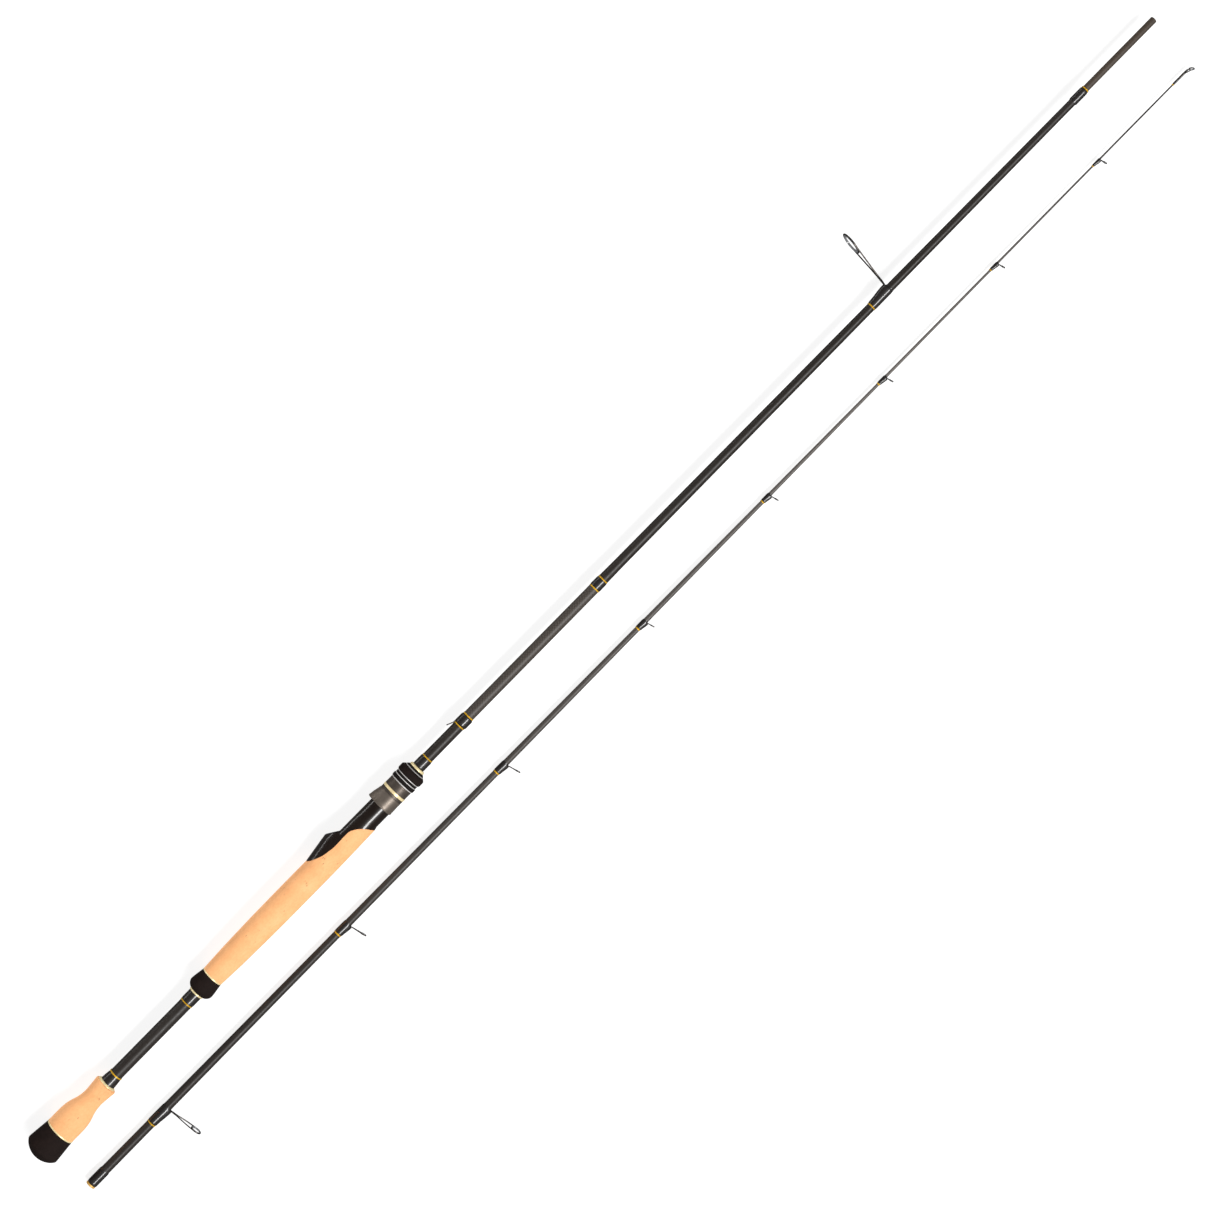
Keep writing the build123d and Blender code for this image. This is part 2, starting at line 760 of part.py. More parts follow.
with BuildPart() as hook_keeper_wrap:
    keeper_wrap_start = BUTT_BANDS[3] + BAND_WIDTH / 2
    keeper_wrap_end = BUTT_BANDS[4] - BAND_WIDTH / 2
    add(band(BUTT, BUTT_TAPER, keeper_wrap_start, keeper_wrap_end, 0.9, 1.0))
    add(hook_keeper.part, mode=Mode.SUBTRACT)
save(hook_keeper_wrap.part, "hook_keeper_wrap")

marker_start = BUTT_BANDS[5] + BAND_WIDTH / 2
marker_end = BUTT_BANDS[6] - BAND_WIDTH / 2
save(band(BUTT, BUTT_TAPER, marker_start, marker_end, WRAP_HEIGHT, 0.6), "marker_wrap")

# ---- stripper guide ----
stripper = Guide(BUTT, BUTT_TAPER, 1022.0, STRIPPER_TOP, 10.5, 6.5, 1.3, 17.0)
stripper_frame = guide_frame(stripper)
save(stripper_frame, "stripper_frame")
save(guide_ring(stripper), "stripper_ring")
save(guide_wrap(stripper, stripper_frame, BUTT_BANDS[7] + BAND_WIDTH / 2), "stripper_wrap")
ferrule_wrap_end = BUTT_BANDS[8] - BAND_WIDTH / 2
save(band(BUTT, BUTT_TAPER, FERRULE_WRAP_START, ferrule_wrap_end, 0.6, 1.0), "ferrule_wrap")

with BuildPart() as butt_gold_bands:
    for place in BUTT_BANDS:
        start = place - BAND_WIDTH / 2
        height = 0.55 if place < REAR_CHECK_END + 10 else BAND_HEIGHT
        add(band(BUTT, BUTT_TAPER, start, start + BAND_WIDTH, height, 0.2))
    add(hook_keeper.part, mode=Mode.SUBTRACT)
save(butt_gold_bands.part, "butt_gold_bands")

# ---- tip blank and its socket ----
tip_outline = TIP_TAPER + [
    (TIP_TAPER[-1][0], 0),
    (TIP_BORE_END, 0),
    *reversed(TIP_BORE),
    (TIP_BORE_STEP, SLEEVE_RADIUS),
    (TIP_TAPER[0][0], SLEEVE_RADIUS),
]
save(turned(TIP, *tip_outline), "tip_blank")
socket_start = TIP_TAPER[0][0]
save(ring(TIP, socket_start, SLEEVE_END, SOCKET_RADIUS, SLEEVE_RADIUS), "socket_sleeve")
save(ring(TIP, 0, END_RING_LENGTH, SOCKET_RADIUS + 0.02, 4.45, 0.3), "socket_ring")
save(band(TIP, TIP_TAPER, socket_start, SOCKET_WRAP_END, 0.45, 0.8), "socket_wrap")

# ---- guides of the tip section ----
with BuildPart() as tip_guide_wraps:
    for number, (place, measures) in enumerate(zip(TIP_BANDS, TIP_GUIDES), start=1):
        top, radius, lean, reach = measures
        plate = 0.62 + 0.08 * radius
        guide = Guide(TIP, TIP_TAPER, place + reach, top, radius, lean, plate, reach - 1.5)
        frame = guide_frame(guide)
        save(frame, f"guide_{number}_frame")
        save(guide_ring(guide), f"guide_{number}_ring")
        add(guide_wrap(guide, frame, place + BAND_WIDTH / 2))
save(tip_guide_wraps.part, "tip_guide_wraps")

with BuildPart() as tip_gold_bands:
    for place in TIP_BANDS:
        start = place - BAND_WIDTH / 2
        add(band(TIP, TIP_TAPER, start, start + BAND_WIDTH, BAND_HEIGHT, 0.2))
save(tip_gold_bands.part, "tip_gold_bands")

# ---- tip-top parts ----
arm = TIP_RING_CENTRE - ARM_START
ring_normal = TIP.x_dir * cos(radians(TIP_RING_LEAN)) - TIP.y_dir * sin(radians(TIP_RING_LEAN))
ring_centre = TIP.from_local_coords(TIP_RING_CENTRE)
ring_face = Plane(origin=ring_centre, x_dir=TIP.z_dir, z_dir=ring_normal)
arm_face = Plane(
    origin=TIP.from_local_coords(ARM_START),
    x_dir=TIP.x_dir * arm.X + TIP.y_dir * arm.Y,
    z_dir=TIP.y_dir * arm.X - TIP.x_dir * arm.Y,
)
with BuildPart() as tip_top_frame:
    add(
        turned(
            TIP,
            (TIP_TOP_START, 0),
            (TIP_TOP_START, TUBE_RADIUS),
            (TIP_TOP_END - 0.8, TUBE_RADIUS),
            (TIP_TOP_END, 0.4),
            (TIP_TOP_END, 0),
        )
    )
    with BuildSketch(arm_face):
        Circle(TUBE_RADIUS - 0.1)
        with Locations((arm.length, 0)):
            Circle(TIP_RING_RADIUS)
        make_hull()
    extrude(amount=0.4, both=True)
    with BuildSketch(arm_face):
        with Locations((0.65 * arm.length, 0)):
            Circle(0.3)
        with Locations((arm.length + 0.5, 0)):
            Circle(TIP_RING_HOLE)
        make_hull()
        with Locations((arm.length + TIP_RING_RADIUS, 0)):
            Rectangle(2 * TIP_RING_RADIUS, 3 * TIP_RING_RADIUS)
    extrude(amount=2 * TIP_RING_RADIUS, both=True, mode=Mode.SUBTRACT)
    with BuildSketch(ring_face):
        Circle(TIP_RING_RADIUS)
    extrude(amount=0.4, both=True)
    with BuildSketch(ring_face):
        Circle(TIP_RING_HOLE)
    extrude(amount=1.2, both=True, mode=Mode.SUBTRACT)
    add(blank_core(TIP, TIP_TAPER, TIP_TOP_START - 1, TIP_TAPER[-1][0]), mode=Mode.SUBTRACT)
save(tip_top_frame.part, "tip_top_frame")
save(ceramic_ring(ring_centre, ring_normal, TIP.z_dir, TIP_RING_HOLE, 1.45, 1.1), "tip_top_ring")

with BuildPart() as tip_top_wrap:
    add(band(TIP, TIP_TAPER, TIP_BANDS[8] + BAND_WIDTH / 2, TIP_TOP_START, 0.4, 0.6))
save(tip_top_wrap.part, "tip_top_wrap")
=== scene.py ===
import json
import math

import bmesh
import bpy
from mathutils import Matrix, Vector


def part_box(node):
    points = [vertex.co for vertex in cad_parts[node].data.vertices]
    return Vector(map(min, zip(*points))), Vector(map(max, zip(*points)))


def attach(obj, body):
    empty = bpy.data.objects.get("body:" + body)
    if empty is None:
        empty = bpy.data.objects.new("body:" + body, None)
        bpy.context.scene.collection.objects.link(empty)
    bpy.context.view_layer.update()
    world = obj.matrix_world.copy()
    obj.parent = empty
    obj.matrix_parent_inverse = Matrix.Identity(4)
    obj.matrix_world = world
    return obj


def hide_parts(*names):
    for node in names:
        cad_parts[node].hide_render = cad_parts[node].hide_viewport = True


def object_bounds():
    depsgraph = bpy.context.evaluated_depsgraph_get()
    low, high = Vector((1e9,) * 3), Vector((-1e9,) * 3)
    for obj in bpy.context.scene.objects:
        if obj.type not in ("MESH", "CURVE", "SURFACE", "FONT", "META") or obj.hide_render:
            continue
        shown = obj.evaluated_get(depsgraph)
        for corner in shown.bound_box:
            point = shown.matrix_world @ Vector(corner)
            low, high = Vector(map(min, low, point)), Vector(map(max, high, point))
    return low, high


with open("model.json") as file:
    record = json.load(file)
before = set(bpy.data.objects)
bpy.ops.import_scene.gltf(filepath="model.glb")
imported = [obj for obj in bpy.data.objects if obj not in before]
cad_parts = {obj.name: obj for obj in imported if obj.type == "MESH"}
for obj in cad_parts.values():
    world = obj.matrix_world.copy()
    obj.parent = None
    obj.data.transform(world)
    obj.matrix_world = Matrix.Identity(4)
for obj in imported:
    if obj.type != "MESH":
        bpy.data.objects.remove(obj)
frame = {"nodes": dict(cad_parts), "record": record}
cad_low, cad_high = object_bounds()

# lengths are in mm unless a comment says metres, and MM turns them into metres
MM = 0.001
BUTT_BODY = "butt_section"
TIP_BODY = "tip_section"
NUT_BODY = "lock_nut"
HOOD_BODY = "moving_hood"

SECTION_LENGTH = 1340.0
# outer radius of each blank, as (distance from the section's rear end, radius)
BUTT_TAPER = [(12, 5.8), (190, 5.8), (456, 5.15), (520, 5.0), (668, 4.9), (697, 4.55), (1258, 3.3)]
TIP_TAPER = [
    (2, 4.2), (80, 4.0), (336, 3.35), (504, 2.85), (840, 1.7), (1008, 1.2), (1176, 0.85), (1319, 0.65),
]
WEAVE = (518.5, 669.3)  # the stretch of bare woven carbon
BAND = 1.1  # width of a gold thread band
BUTT_BANDS = [96.2, 180.9, 469.3, 507.4, 518.5, 669.3, 679.6, 1001.1, 1257.1]
TIP_BANDS = [74.0, 298.0, 489.0, 659.1, 809.2, 948.7, 1083.6, 1206.7, 1303.2]
SINK = 0.1  # how far thread reaches into the blank's skin
STRAND = 0.183  # one turn of gold thread
GRIP_BORE = 5.8  # radius of the blank inside the rear grip
MAIN_BORE = 5.75  # and at the rear of the main grip
NUT_INNER = 10.6  # inside of the nut's trim, over its core
NOSE_BORE = 5.7  # inside of the nut's front trim, clear of the blank
HOOD_BORE = 10.45  # inside of the moving hood
HOOD_LAND = 9.55  # height of the flat that keys the hood to the seat
SOCKET_BORE = 3.04
SOCKET_OUTER = 3.6
SPIGOT = 3.0  # radius of the ground spigot
SMOOTH_TURNS = 128  # points round the large turned grips
RING_TURNS = 72  # and round a guide's ring
TINY = 1e-6


# ---------------------------------------------------------------- reading and measuring
def middle(node):
    """Middle of a CAD node's box."""
    low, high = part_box(node)
    return (low + high) / 2


def value_at(curve, along):
    """Straight-line reading of a curve given as (along, value)."""
    for (start, first), (end, last) in zip(curve, curve[1:]):
        if along <= end:
            return first + (last - first) * (along - start) / (end - start)
    return curve[-1][1]


def smooth_step(t):
    t = max(0.0, min(1.0, t))
    return t * t * (3 - 2 * t)


# ---------------------------------------------------------------- places on the two sections
class Section:
    """One half of the rod. Points are (distance from its rear end, height toward its guides, side)."""

    # origin is in metres, in the shared frame; axis, up and side have no unit
    def __init__(self, blank, rear_node, side, taper):
        centre = middle(blank)
        self.origin = Vector((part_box(rear_node)[0].x, centre.y, centre.z))
        self.axis = Vector((1, 0, 0))
        self.up = Vector((0, side, 0))
        self.side = self.axis.cross(self.up)
        self.taper = taper

    def at(self, along, high=0.0, aside=0.0):
        return self.origin + (self.axis * along + self.up * high + self.side * aside) * MM

    def radius(self, along):
        """Outer radius of the blank there."""
        return value_at(self.taper, along)

    def span(self, node):
        """Where a CAD node starts and ends along the section."""
        low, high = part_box(node)
        return (low.x - self.origin.x) / MM, (high.x - self.origin.x) / MM

    def reach(self, node):
        """Largest radius of a round CAD node."""
        low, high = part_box(node)
        return (high.z - low.z) / 2 / MM


butt = Section("butt_blank", "butt_cap", 1, BUTT_TAPER)
tip = Section("tip_blank", "socket_ring", -1, TIP_TAPER)


# ---------------------------------------------------------------- node-based materials
class Recipe:
    """A principled material and short ways to add nodes to it."""

    def __init__(self, name, color, rough, metallic=0.0, **extra):
        self.material = bpy.data.materials.new(name)
        self.material.use_nodes = True
        self.nodes = self.material.node_tree.nodes
        self.links = self.material.node_tree.links
        self.shader = self.nodes["Principled BSDF"]
        self.shader.inputs["Base Color"].default_value = (*color, 1)
        self.shader.inputs["Roughness"].default_value = rough
        self.shader.inputs["Metallic"].default_value = metallic
        for socket, value in extra.items():
            self.shader.inputs[socket.replace("_", " ")].default_value = value
        self.place = self.nodes.new("ShaderNodeTexCoord").outputs["Object"]
        self.bumps = None

    def node(self, kind, inputs=(), **settings):
        made = self.nodes.new(kind)
        for key, value in settings.items():
            setattr(made, key, value)
        for key, value in dict(inputs).items():
            if isinstance(value, bpy.types.NodeSocket):
                self.links.new(value, made.inputs[key])
            else:
                made.inputs[key].default_value = value
        return made

    def math(self, operation, first, second=0.0, third=0.0):
        return self.node("ShaderNodeMath", {0: first, 1: second, 2: third}, operation=operation).outputs[0]

    def stretched(self, scale):
        """Object place with each axis scaled."""
        return self.node("ShaderNodeMapping", {"Vector": self.place, "Scale": scale}).outputs["Vector"]

    def noise(self, scale, detail=3.0, rough=0.5, where=None):
        inputs = {"Vector": where or self.place, "Scale": scale, "Detail": detail, "Roughness": rough}
        return self.node("ShaderNodeTexNoise", inputs).outputs["Fac"]

    def cells(self, scale, where=None):
        inputs = {"Vector": where or self.place, "Scale": scale}
        return self.node("ShaderNodeTexVoronoi", inputs).outputs["Distance"]

    def ramp(self, value, *stops):
        """Colour ramp of (position, colour or grey) stops."""
        made = self.node("ShaderNodeValToRGB", {"Fac": value})
        ramp = made.color_ramp
        while len(ramp.elements) < len(stops):
            ramp.elements.new(1.0)
        for element, (position, color) in zip(ramp.elements, stops):
            element.position = position
            element.color = (*color, 1) if isinstance(color, tuple) else (color, color, color, 1)
        return made.outputs["Color"]

    def mix(self, fac, first, second, blend="MIX"):
        made = self.node("ShaderNodeMix", data_type="RGBA", blend_type=blend)
        for key, value in ((0, fac), (6, first), (7, second)):
            if isinstance(value, bpy.types.NodeSocket):
                self.links.new(value, made.inputs[key])
            else:
                made.inputs[key].default_value = (*value, 1) if isinstance(value, tuple) else value
        return made.outputs[2]

    def along(self, section):
        """Distance along a section, in mm."""
        parts = self.node("ShaderNodeSeparateXYZ", {0: self.place})
        return self.math("MULTIPLY_ADD", parts.outputs["X"], 1 / MM, -section.origin.x / MM)

    def around(self, section):
        """Angle round a section's axis, in turns."""
        parts = self.node("ShaderNodeSeparateXYZ", {0: self.place})
        high = self.math("SUBTRACT", parts.outputs["Y"], section.origin.y)
        wide = self.math("SUBTRACT", parts.outputs["Z"], section.origin.z)
        return self.math("DIVIDE", self.math("ARCTAN2", wide, high), math.tau)

    def ribs(self, value, pitch):
        """Round ribs of a given pitch, from 0 to 1."""
        angle = self.math("MULTIPLY", value, math.tau / pitch)
        return self.math("MULTIPLY_ADD", self.math("SINE", angle), 0.5, 0.5)

    def bump(self, height, depth):
        """Adds a bump of a depth in mm."""
        inputs = {"Height": height, "Distance": depth * MM, "Strength": 1.0}
        if self.bumps is not None:
            inputs["Normal"] = self.bumps
        self.bumps = self.node("ShaderNodeBump", inputs).outputs["Normal"]
        self.links.new(self.bumps, self.shader.inputs["Normal"])

    def shades(self, value, low, high, color, darker, lighter):
        """Ramp between a darker and a lighter tone of a colour."""
        dark = tuple(c * darker for c in color)
        light = tuple(min(1, c * lighter) for c in color)
        return self.ramp(value, (low, dark), (high, light))

    def set(self, socket, value):
        self.links.new(value, self.shader.inputs[socket])


def satin_blank(section, name, pale):
    """Satin carbon tube with faint long fibres and tape ridges; it turns paler toward its front end."""
    m = Recipe(name, (0.02, 0.018, 0.017), 0.42, Specular_IOR_Level=0.36)
    fibres = m.noise(1.0, 4.0, 0.6, m.stretched((60, 2600, 2600)))
    dark = m.ramp(fibres, (0.3, (0.014, 0.0115, 0.010)), (0.7, (0.034, 0.028, 0.024)))
    light = m.shades(fibres, 0.3, 0.7, pale, 0.75, 1.25)
    front = m.math("DIVIDE", m.along(section), SECTION_LENGTH)
    paler = m.ramp(front, (0.18, 0.0), (0.55, 0.6), (0.72, 1.0), (0.8, 0.8), (0.95, 0.0))
    m.set("Base Color", m.mix(paler, dark, light))
    m.set("Roughness", m.ramp(m.noise(240, 2.0), (0.3, 0.36), (0.7, 0.48)))
    tape_pitch = 3.0
    tape = m.math("MULTIPLY_ADD", m.around(section), tape_pitch, m.along(section))
    m.bump(m.ribs(tape, tape_pitch), 0.01)
    return m.material


def woven_blank():
    """Matte grey woven carbon."""
    m = Recipe("carbon_weave", (0.1, 0.09, 0.085), 0.5)
    along = m.along(butt)
    around = m.math("MULTIPLY", m.around(butt), 32.0)
    tow = 2.0
    left = m.ribs(m.math("ADD", along, around), tow)
    right = m.ribs(m.math("SUBTRACT", along, around), tow)
    weave = m.math("MULTIPLY_ADD", m.math("MULTIPLY", left, right), 0.8, m.math("MULTIPLY", left, 0.2))
    tint = m.ramp(weave, (0.0, (0.029, 0.0235, 0.0195)), (1.0, (0.122, 0.099, 0.081)))
    speckle = m.ramp(m.noise(900, 2.0), (0.3, 0.75), (0.75, 1.0))
    m.set("Base Color", m.mix(1.0, tint, speckle, "MULTIPLY"))
    m.bump(weave, 0.04)
    return m.material


def cork():
    """Sanded cork: warm mottling, glue joints between rings, pits and dark flecks."""
    m = Recipe("cork", (0.86, 0.44, 0.18), 0.72)
    cloud = m.noise(70, 5.0, 0.6)
    warm = m.ramp(cloud, (0.3, (0.83, 0.385, 0.15)), (0.55, (0.91, 0.445, 0.182)), (0.8, (0.96, 0.50, 0.225)))
    grain = m.noise(700, 3.0, 0.7, m.stretched((0.6, 1.0, 1.0)))
    warm = m.mix(0.22, warm, m.ramp(grain, (0.3, (0.66, 0.29, 0.115)), (0.6, (0.95, 0.52, 0.25))))
    half_ring = 6.35
    joint = m.math("ABSOLUTE", m.math("PINGPONG", m.along(butt), half_ring))
    joint = m.ramp(joint, (0.0, 1.0), (0.05, 0.0))
    warm = m.mix(m.math("MULTIPLY", joint, 0.22), warm, (0.45, 0.22, 0.09))
    pits = m.cells(520, m.stretched((0.4, 1.0, 1.0)))
    keep = m.ramp(m.noise(160, 2.0), (0.58, 0.0), (0.66, 1.0))
    pit = m.math("MULTIPLY", m.ramp(pits, (0.1, 1.0), (0.24, 0.0)), keep)
    color = m.mix(m.math("MULTIPLY", pit, 0.7), warm, (0.27, 0.12, 0.05))
    m.set("Base Color", color)
    m.bump(m.math("MULTIPLY", pit, -1.0), 0.25)
    m.bump(grain, 0.03)
    return m.material


def foam(name, color):
    """Ground closed-cell foam."""
    m = Recipe(name, color, 0.85, Specular_IOR_Level=0.16)
    cells = m.cells(2600)
    cloud = m.noise(220, 3.0)
    mottle = m.math("MULTIPLY_ADD", cells, 0.5, m.math("MULTIPLY", cloud, 0.5))
    m.set("Base Color", m.shades(mottle, 0.2, 0.75, color, 0.6, 1.5))
    m.bump(cells, 0.05)
    m.bump(cloud, 0.04)
    return m.material


def turned_metal(name, color, rough, groove=0.35, metallic=1.0):
    """Lathe-turned, anodised or plated metal with fine turning lines."""
    wear = 0.12
    m = Recipe(name, color, rough, metallic)
    lines = m.noise(1.0, 2.0, 0.5, m.stretched((1000 / groove, 8, 8)))
    m.set("Base Color", m.shades(m.noise(90, 3.0), 0.3, 0.7, color, 1 - wear, 1 + wear))
    m.set("Roughness", m.ramp(lines, (0.25, rough * 0.75), (0.75, rough * 1.3)))
    m.bump(lines, 0.012)
    return m.material


def thread(name, color, pitch, metallic, rough, relief):
    """Fine thread laid side by side round a blank, under clear epoxy. Its colour has painted shade in the
    grooves between strands and a painted highlight on their crests.
    """
    m = Recipe(name, color, rough, metallic, Coat_Weight=1.0, Coat_Roughness=0.04)
    parts = m.node("ShaderNodeSeparateXYZ", {0: m.place})
    strands = m.ribs(m.math("DIVIDE", parts.outputs["X"], MM), pitch)
    # half random tone, half painted shade and highlight: darker in each groove between strands, lighter on
    # each crest
    tone_and_painted_strand_shade = m.math("MULTIPLY_ADD", m.noise(500, 2.0), 0.5, m.math("MULTIPLY", strands, 0.5))
    m.set("Base Color", m.shades(tone_and_painted_strand_shade, 0.15, 0.85, color, 0.5, 1.35))
    m.bump(strands, relief)
    return m.material


def gloss_moulding(name, color):
    """Gloss-painted moulding with a slight orange peel."""
    m = Recipe(name, color, 0.28, Coat_Weight=0.8, Coat_Roughness=0.1)
    peel = m.noise(160, 2.0)
    m.set("Roughness", m.ramp(m.noise(45, 3.0), (0.3, 0.22), (0.7, 0.36)))
    m.set("Base Color", m.shades(peel, 0.3, 0.7, color, 1.0, 1.3))
    m.bump(peel, 0.012)
    return m.material


def ground_carbon(name, color):
    """Centreless-ground carbon: matte, with fine rings."""
    m = Recipe(name, color, 0.6)
    rings = m.noise(1.0, 3.0, 0.6, m.stretched((2400, 60, 60)))
    m.set("Base Color", m.shades(rings, 0.25, 0.75, color, 0.65, 1.35))
    m.bump(rings, 0.015)
    return m.material


def ceramic():
    """Polished grey ceramic."""
    m = Recipe("guide_ceramic", (0.17, 0.175, 0.18), 0.12, Coat_Weight=0.6, Coat_Roughness=0.03)
    m.set("Base Color", m.ramp(m.noise(300, 3.0), (0.3, (0.13, 0.133, 0.14)), (0.7, (0.22, 0.225, 0.235))))
    return m.material


# the record's material slots, and three more looks: the gold lacquer, the weave and the tip's paler carbon
MATERIALS = {
    "carbon_gloss": satin_blank(butt, "carbon_butt", (0.017, 0.0135, 0.011)),
    "carbon_tip": satin_blank(tip, "carbon_tip", (0.118, 0.105, 0.095)),
    "carbon_weave": woven_blank(),
    "carbon_ground": ground_carbon("carbon_ground", (0.05, 0.0355, 0.0245)),
    "dark_resin": foam("dark_resin", (0.03, 0.03, 0.03)),
    "eva_black": foam("eva_black", (0.0095, 0.0052, 0.0042)),
    "rubber_black": foam("rubber_black", (0.008, 0.006, 0.0055)),
    "cork": cork(),
    "gold_anodised": turned_metal("gold_anodised", (0.94, 0.76, 0.42), 0.36, metallic=0.3),
    "gold_lacquer": turned_metal("gold_lacquer", (0.72, 0.42, 0.11), 0.42, metallic=0.3),
    "gold_thread": thread("gold_thread", (0.95, 0.49, 0.02), 0.18, metallic=0.35, rough=0.35, relief=0.02),
    "wrap_black": thread("wrap_black", (0.0085, 0.006, 0.005), 0.2, metallic=0.0, rough=0.5, relief=0.009),
    "seat_gloss_black": gloss_moulding("seat_gloss_black", (0.0062, 0.0026, 0.0012)),
    "arbor_foam": foam("arbor_foam", (0.3, 0.28, 0.25)),
    "hood_gunmetal": turned_metal("hood_gunmetal", (0.17, 0.14, 0.115), 0.4, 0.5, metallic=0.55),
    "nut_grey": turned_metal("nut_grey", (0.115, 0.095, 0.08), 0.45, 0.25, metallic=0.7),
    "silver_trim": turned_metal("silver_trim", (0.56, 0.54, 0.52), 0.5, metallic=0.35),
    "guide_steel": turned_metal("guide_steel", (0.1, 0.088, 0.08), 0.34, 0.9),
    "guide_ceramic": ceramic(),
}


# ---------------------------------------------------------------- mesh building
def finished(name, mesh, slot, body, replaced, materials=None, sharp=34.0):
    """Object from a bmesh: outward normals, smooth with sharp creases, on its body and slot."""
    bmesh.ops.recalc_face_normals(mesh, faces=mesh.faces)
    for edge in mesh.edges:
        edge.smooth = len(edge.link_faces) < 2 or edge.calc_face_angle(0) < math.radians(sharp)
    for face in mesh.faces:
        face.smooth = True
    data = bpy.data.meshes.new(name)
    mesh.to_mesh(data)
    mesh.free()
    for material in materials or [MATERIALS[slot]]:
        data.materials.append(material)
    piece = bpy.data.objects.new(name, data)
    bpy.context.scene.collection.objects.link(piece)
    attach(piece, body)
    if replaced:
        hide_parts(*replaced)
    return piece


def bridge(mesh, loops, closed=True):
    """Adds the skin between neighbouring closed loops of vertices, and from the last back to the first."""
    for first, last in zip(loops, loops[1:] + loops[:1] if closed else loops[1:]):
        for k in range(len(first)):
            after = (k + 1) % len(first)
            mesh.faces.new((first[k], last[k], last[after], first[after]))


def rounded(outline, cut):
    """Closed outline with its corners off the axis rounded."""
    steps = 3
    nearly_straight = math.radians(168)
    result = []
    for i, here in enumerate(outline):
        here = Vector(here)
        back = Vector(outline[i - 1]) - here
        ahead = Vector(outline[(i + 1) % len(outline)]) - here
        flat = here.y < TINY or back.length < TINY or ahead.length < TINY
        if flat or back.angle(ahead) > nearly_straight:
            result.append(here)
            continue
        reach = min(cut, 0.45 * back.length, 0.45 * ahead.length)
        first = here + back.normalized() * reach
        last = here + ahead.normalized() * reach
        for step in range(steps + 1):
            t = step / steps
            result.append(first * (1 - t) ** 2 + here * 2 * t * (1 - t) + last * t * t)
    return result


def spin(mesh, origin, axis, up, outline, turns=96, material_at=None):
    """Adds the solid turned from a closed outline of (along, radius) points."""
    side = axis.cross(up)
    rings = []
    for along, radius in outline:
        if radius < TINY:
            rings.append([mesh.verts.new(origin + axis * along * MM)])
            continue
        ring = []
        for k in range(turns):
            angle = math.tau * k / turns
            out = up * math.cos(angle) + side * math.sin(angle)
            ring.append(mesh.verts.new(origin + (axis * along + out * radius) * MM))
        rings.append(ring)
    for first, last, p, q in zip(rings, rings[1:] + rings[:1], outline, list(outline[1:]) + [outline[0]]):
        if len(first) == 1 and len(last) == 1:
            continue
        for k in range(turns):
            after = (k + 1) % turns
            if len(first) == 1:
                corners = (first[0], last[k], last[after])
            elif len(last) == 1:
                corners = (first[k], last[0], first[after])
            else:
                corners = (first[k], last[k], last[after], first[after])
            face = mesh.faces.new(corners)
            if material_at:
                face.material_index = material_at((p[0] + q[0]) / 2)


def spun(name, section, outlines, slot, body, node, cut=0.0, turns=96, material_at=None, materials=None):
    """A piece of one or more solids turned about a section's axis, in place of a CAD node."""
    mesh = bmesh.new()
    for outline in outlines:
        shape = rounded(outline, cut) if cut else outline
        spin(mesh, section.origin, section.axis, section.up, shape, turns, material_at)
    return finished(name, mesh, slot, body, [node], materials)


def turned(name, section, outline, slot, body, node, **more):
    return spun(name, section, [outline], slot, body, node, **more)


def trim(name, section, node, inner, outer, slot, body, cut, materials=None):
    """A plain ring that starts and ends where its CAD node does."""
    outline = box_outline(*section.span(node), inner, outer)
    return turned(name, section, outline, slot, body, node, cut=cut, materials=materials)


def wrap_outline(section, start, end, height, fade):
    """Outline of an epoxied thread wrap, domed at both ends."""
    bore = [(end, section.radius(end) - SINK), (start, section.radius(start) - SINK)]
    steps = max(12, int((end - start) / 0.8))
    rim = 0.06
    top = []
    for i in range(steps + 1):
        along = start + (end - start) * i / steps
        edge = min(along - start, end - along) / fade
        rise = rim + (height - rim) * math.sqrt(smooth_step(edge))
        top.append((along, section.radius(along) + rise))
    return top + bore


def blank_top(section, stations):
    """Outer side of a blank, with extra rings between its stations."""
    step = 12.0
    outer = []
    for (start, _), (end, _) in zip(stations, stations[1:]):
        count = max(1, round((end - start) / step))
        outer += [start + (end - start) * i / count for i in range(count)]
    outer.append(stations[-1][0])
    return [(along, section.radius(along)) for along in outer]


def box_outline(start, end, inner, outer):
    return [(start, inner), (start, outer), (end, outer), (end, inner)]


def smooth_path(points, count):
    """Smooth curve through points."""
    points = [Vector(p) for p in points]
    ends = [points[0] * 2 - points[1], *points, points[-1] * 2 - points[-2]]
    result = []
    for a, b, c, d in zip(ends, ends[1:], ends[2:], ends[3:]):
        before, after = (c - a) / 2, (d - b) / 2
        for step in range(count):
            t = step / count
            result.append(
                b * (2 * t**3 - 3 * t**2 + 1) + before * (t**3 - 2 * t**2 + t)
                + c * (3 * t**2 - 2 * t**3) + after * (t**3 - t**2)
            )
    return result + [points[-1]]


def smooth_outline(points, count):
    """Smooth curve through (along, radius) points."""
    return [(p.x, p.y) for p in smooth_path(points, count)]


def strands(section, place, base):
    """Outline of a gold thread band, with its strands side by side."""
    count = round(BAND / STRAND)
    start, end = place - BAND / 2, place - BAND / 2 + BAND
    top = []
    for k in range(count):
        for step in range(4):
            t = step / 4
            along = start + BAND * (k + t) / count
            top.append((along, section.radius(along) + base + 0.5 * BAND / count * math.sin(math.pi * t)))
    top.append((end, section.radius(end) + base))
    return top + [(end, section.radius(end) - SINK), (start, section.radius(start) - SINK)]


# ---------------------------------------------------------------- blanks and ferrule
WALL = 0.9
butt_top = blank_top(butt, sorted(BUTT_TAPER + [(place, butt.radius(place)) for place in WEAVE]))
turned(
    "butt_tube", butt, butt_top + [(along, radius - WALL) for along, radius in reversed(butt_top)],
    "carbon_gloss", BUTT_BODY, "butt_blank", turns=72,
    materials=[MATERIALS["carbon_gloss"], MATERIALS["carbon_weave"]],
    material_at=lambda along: int(WEAVE[0] < along < WEAVE[1]),
)
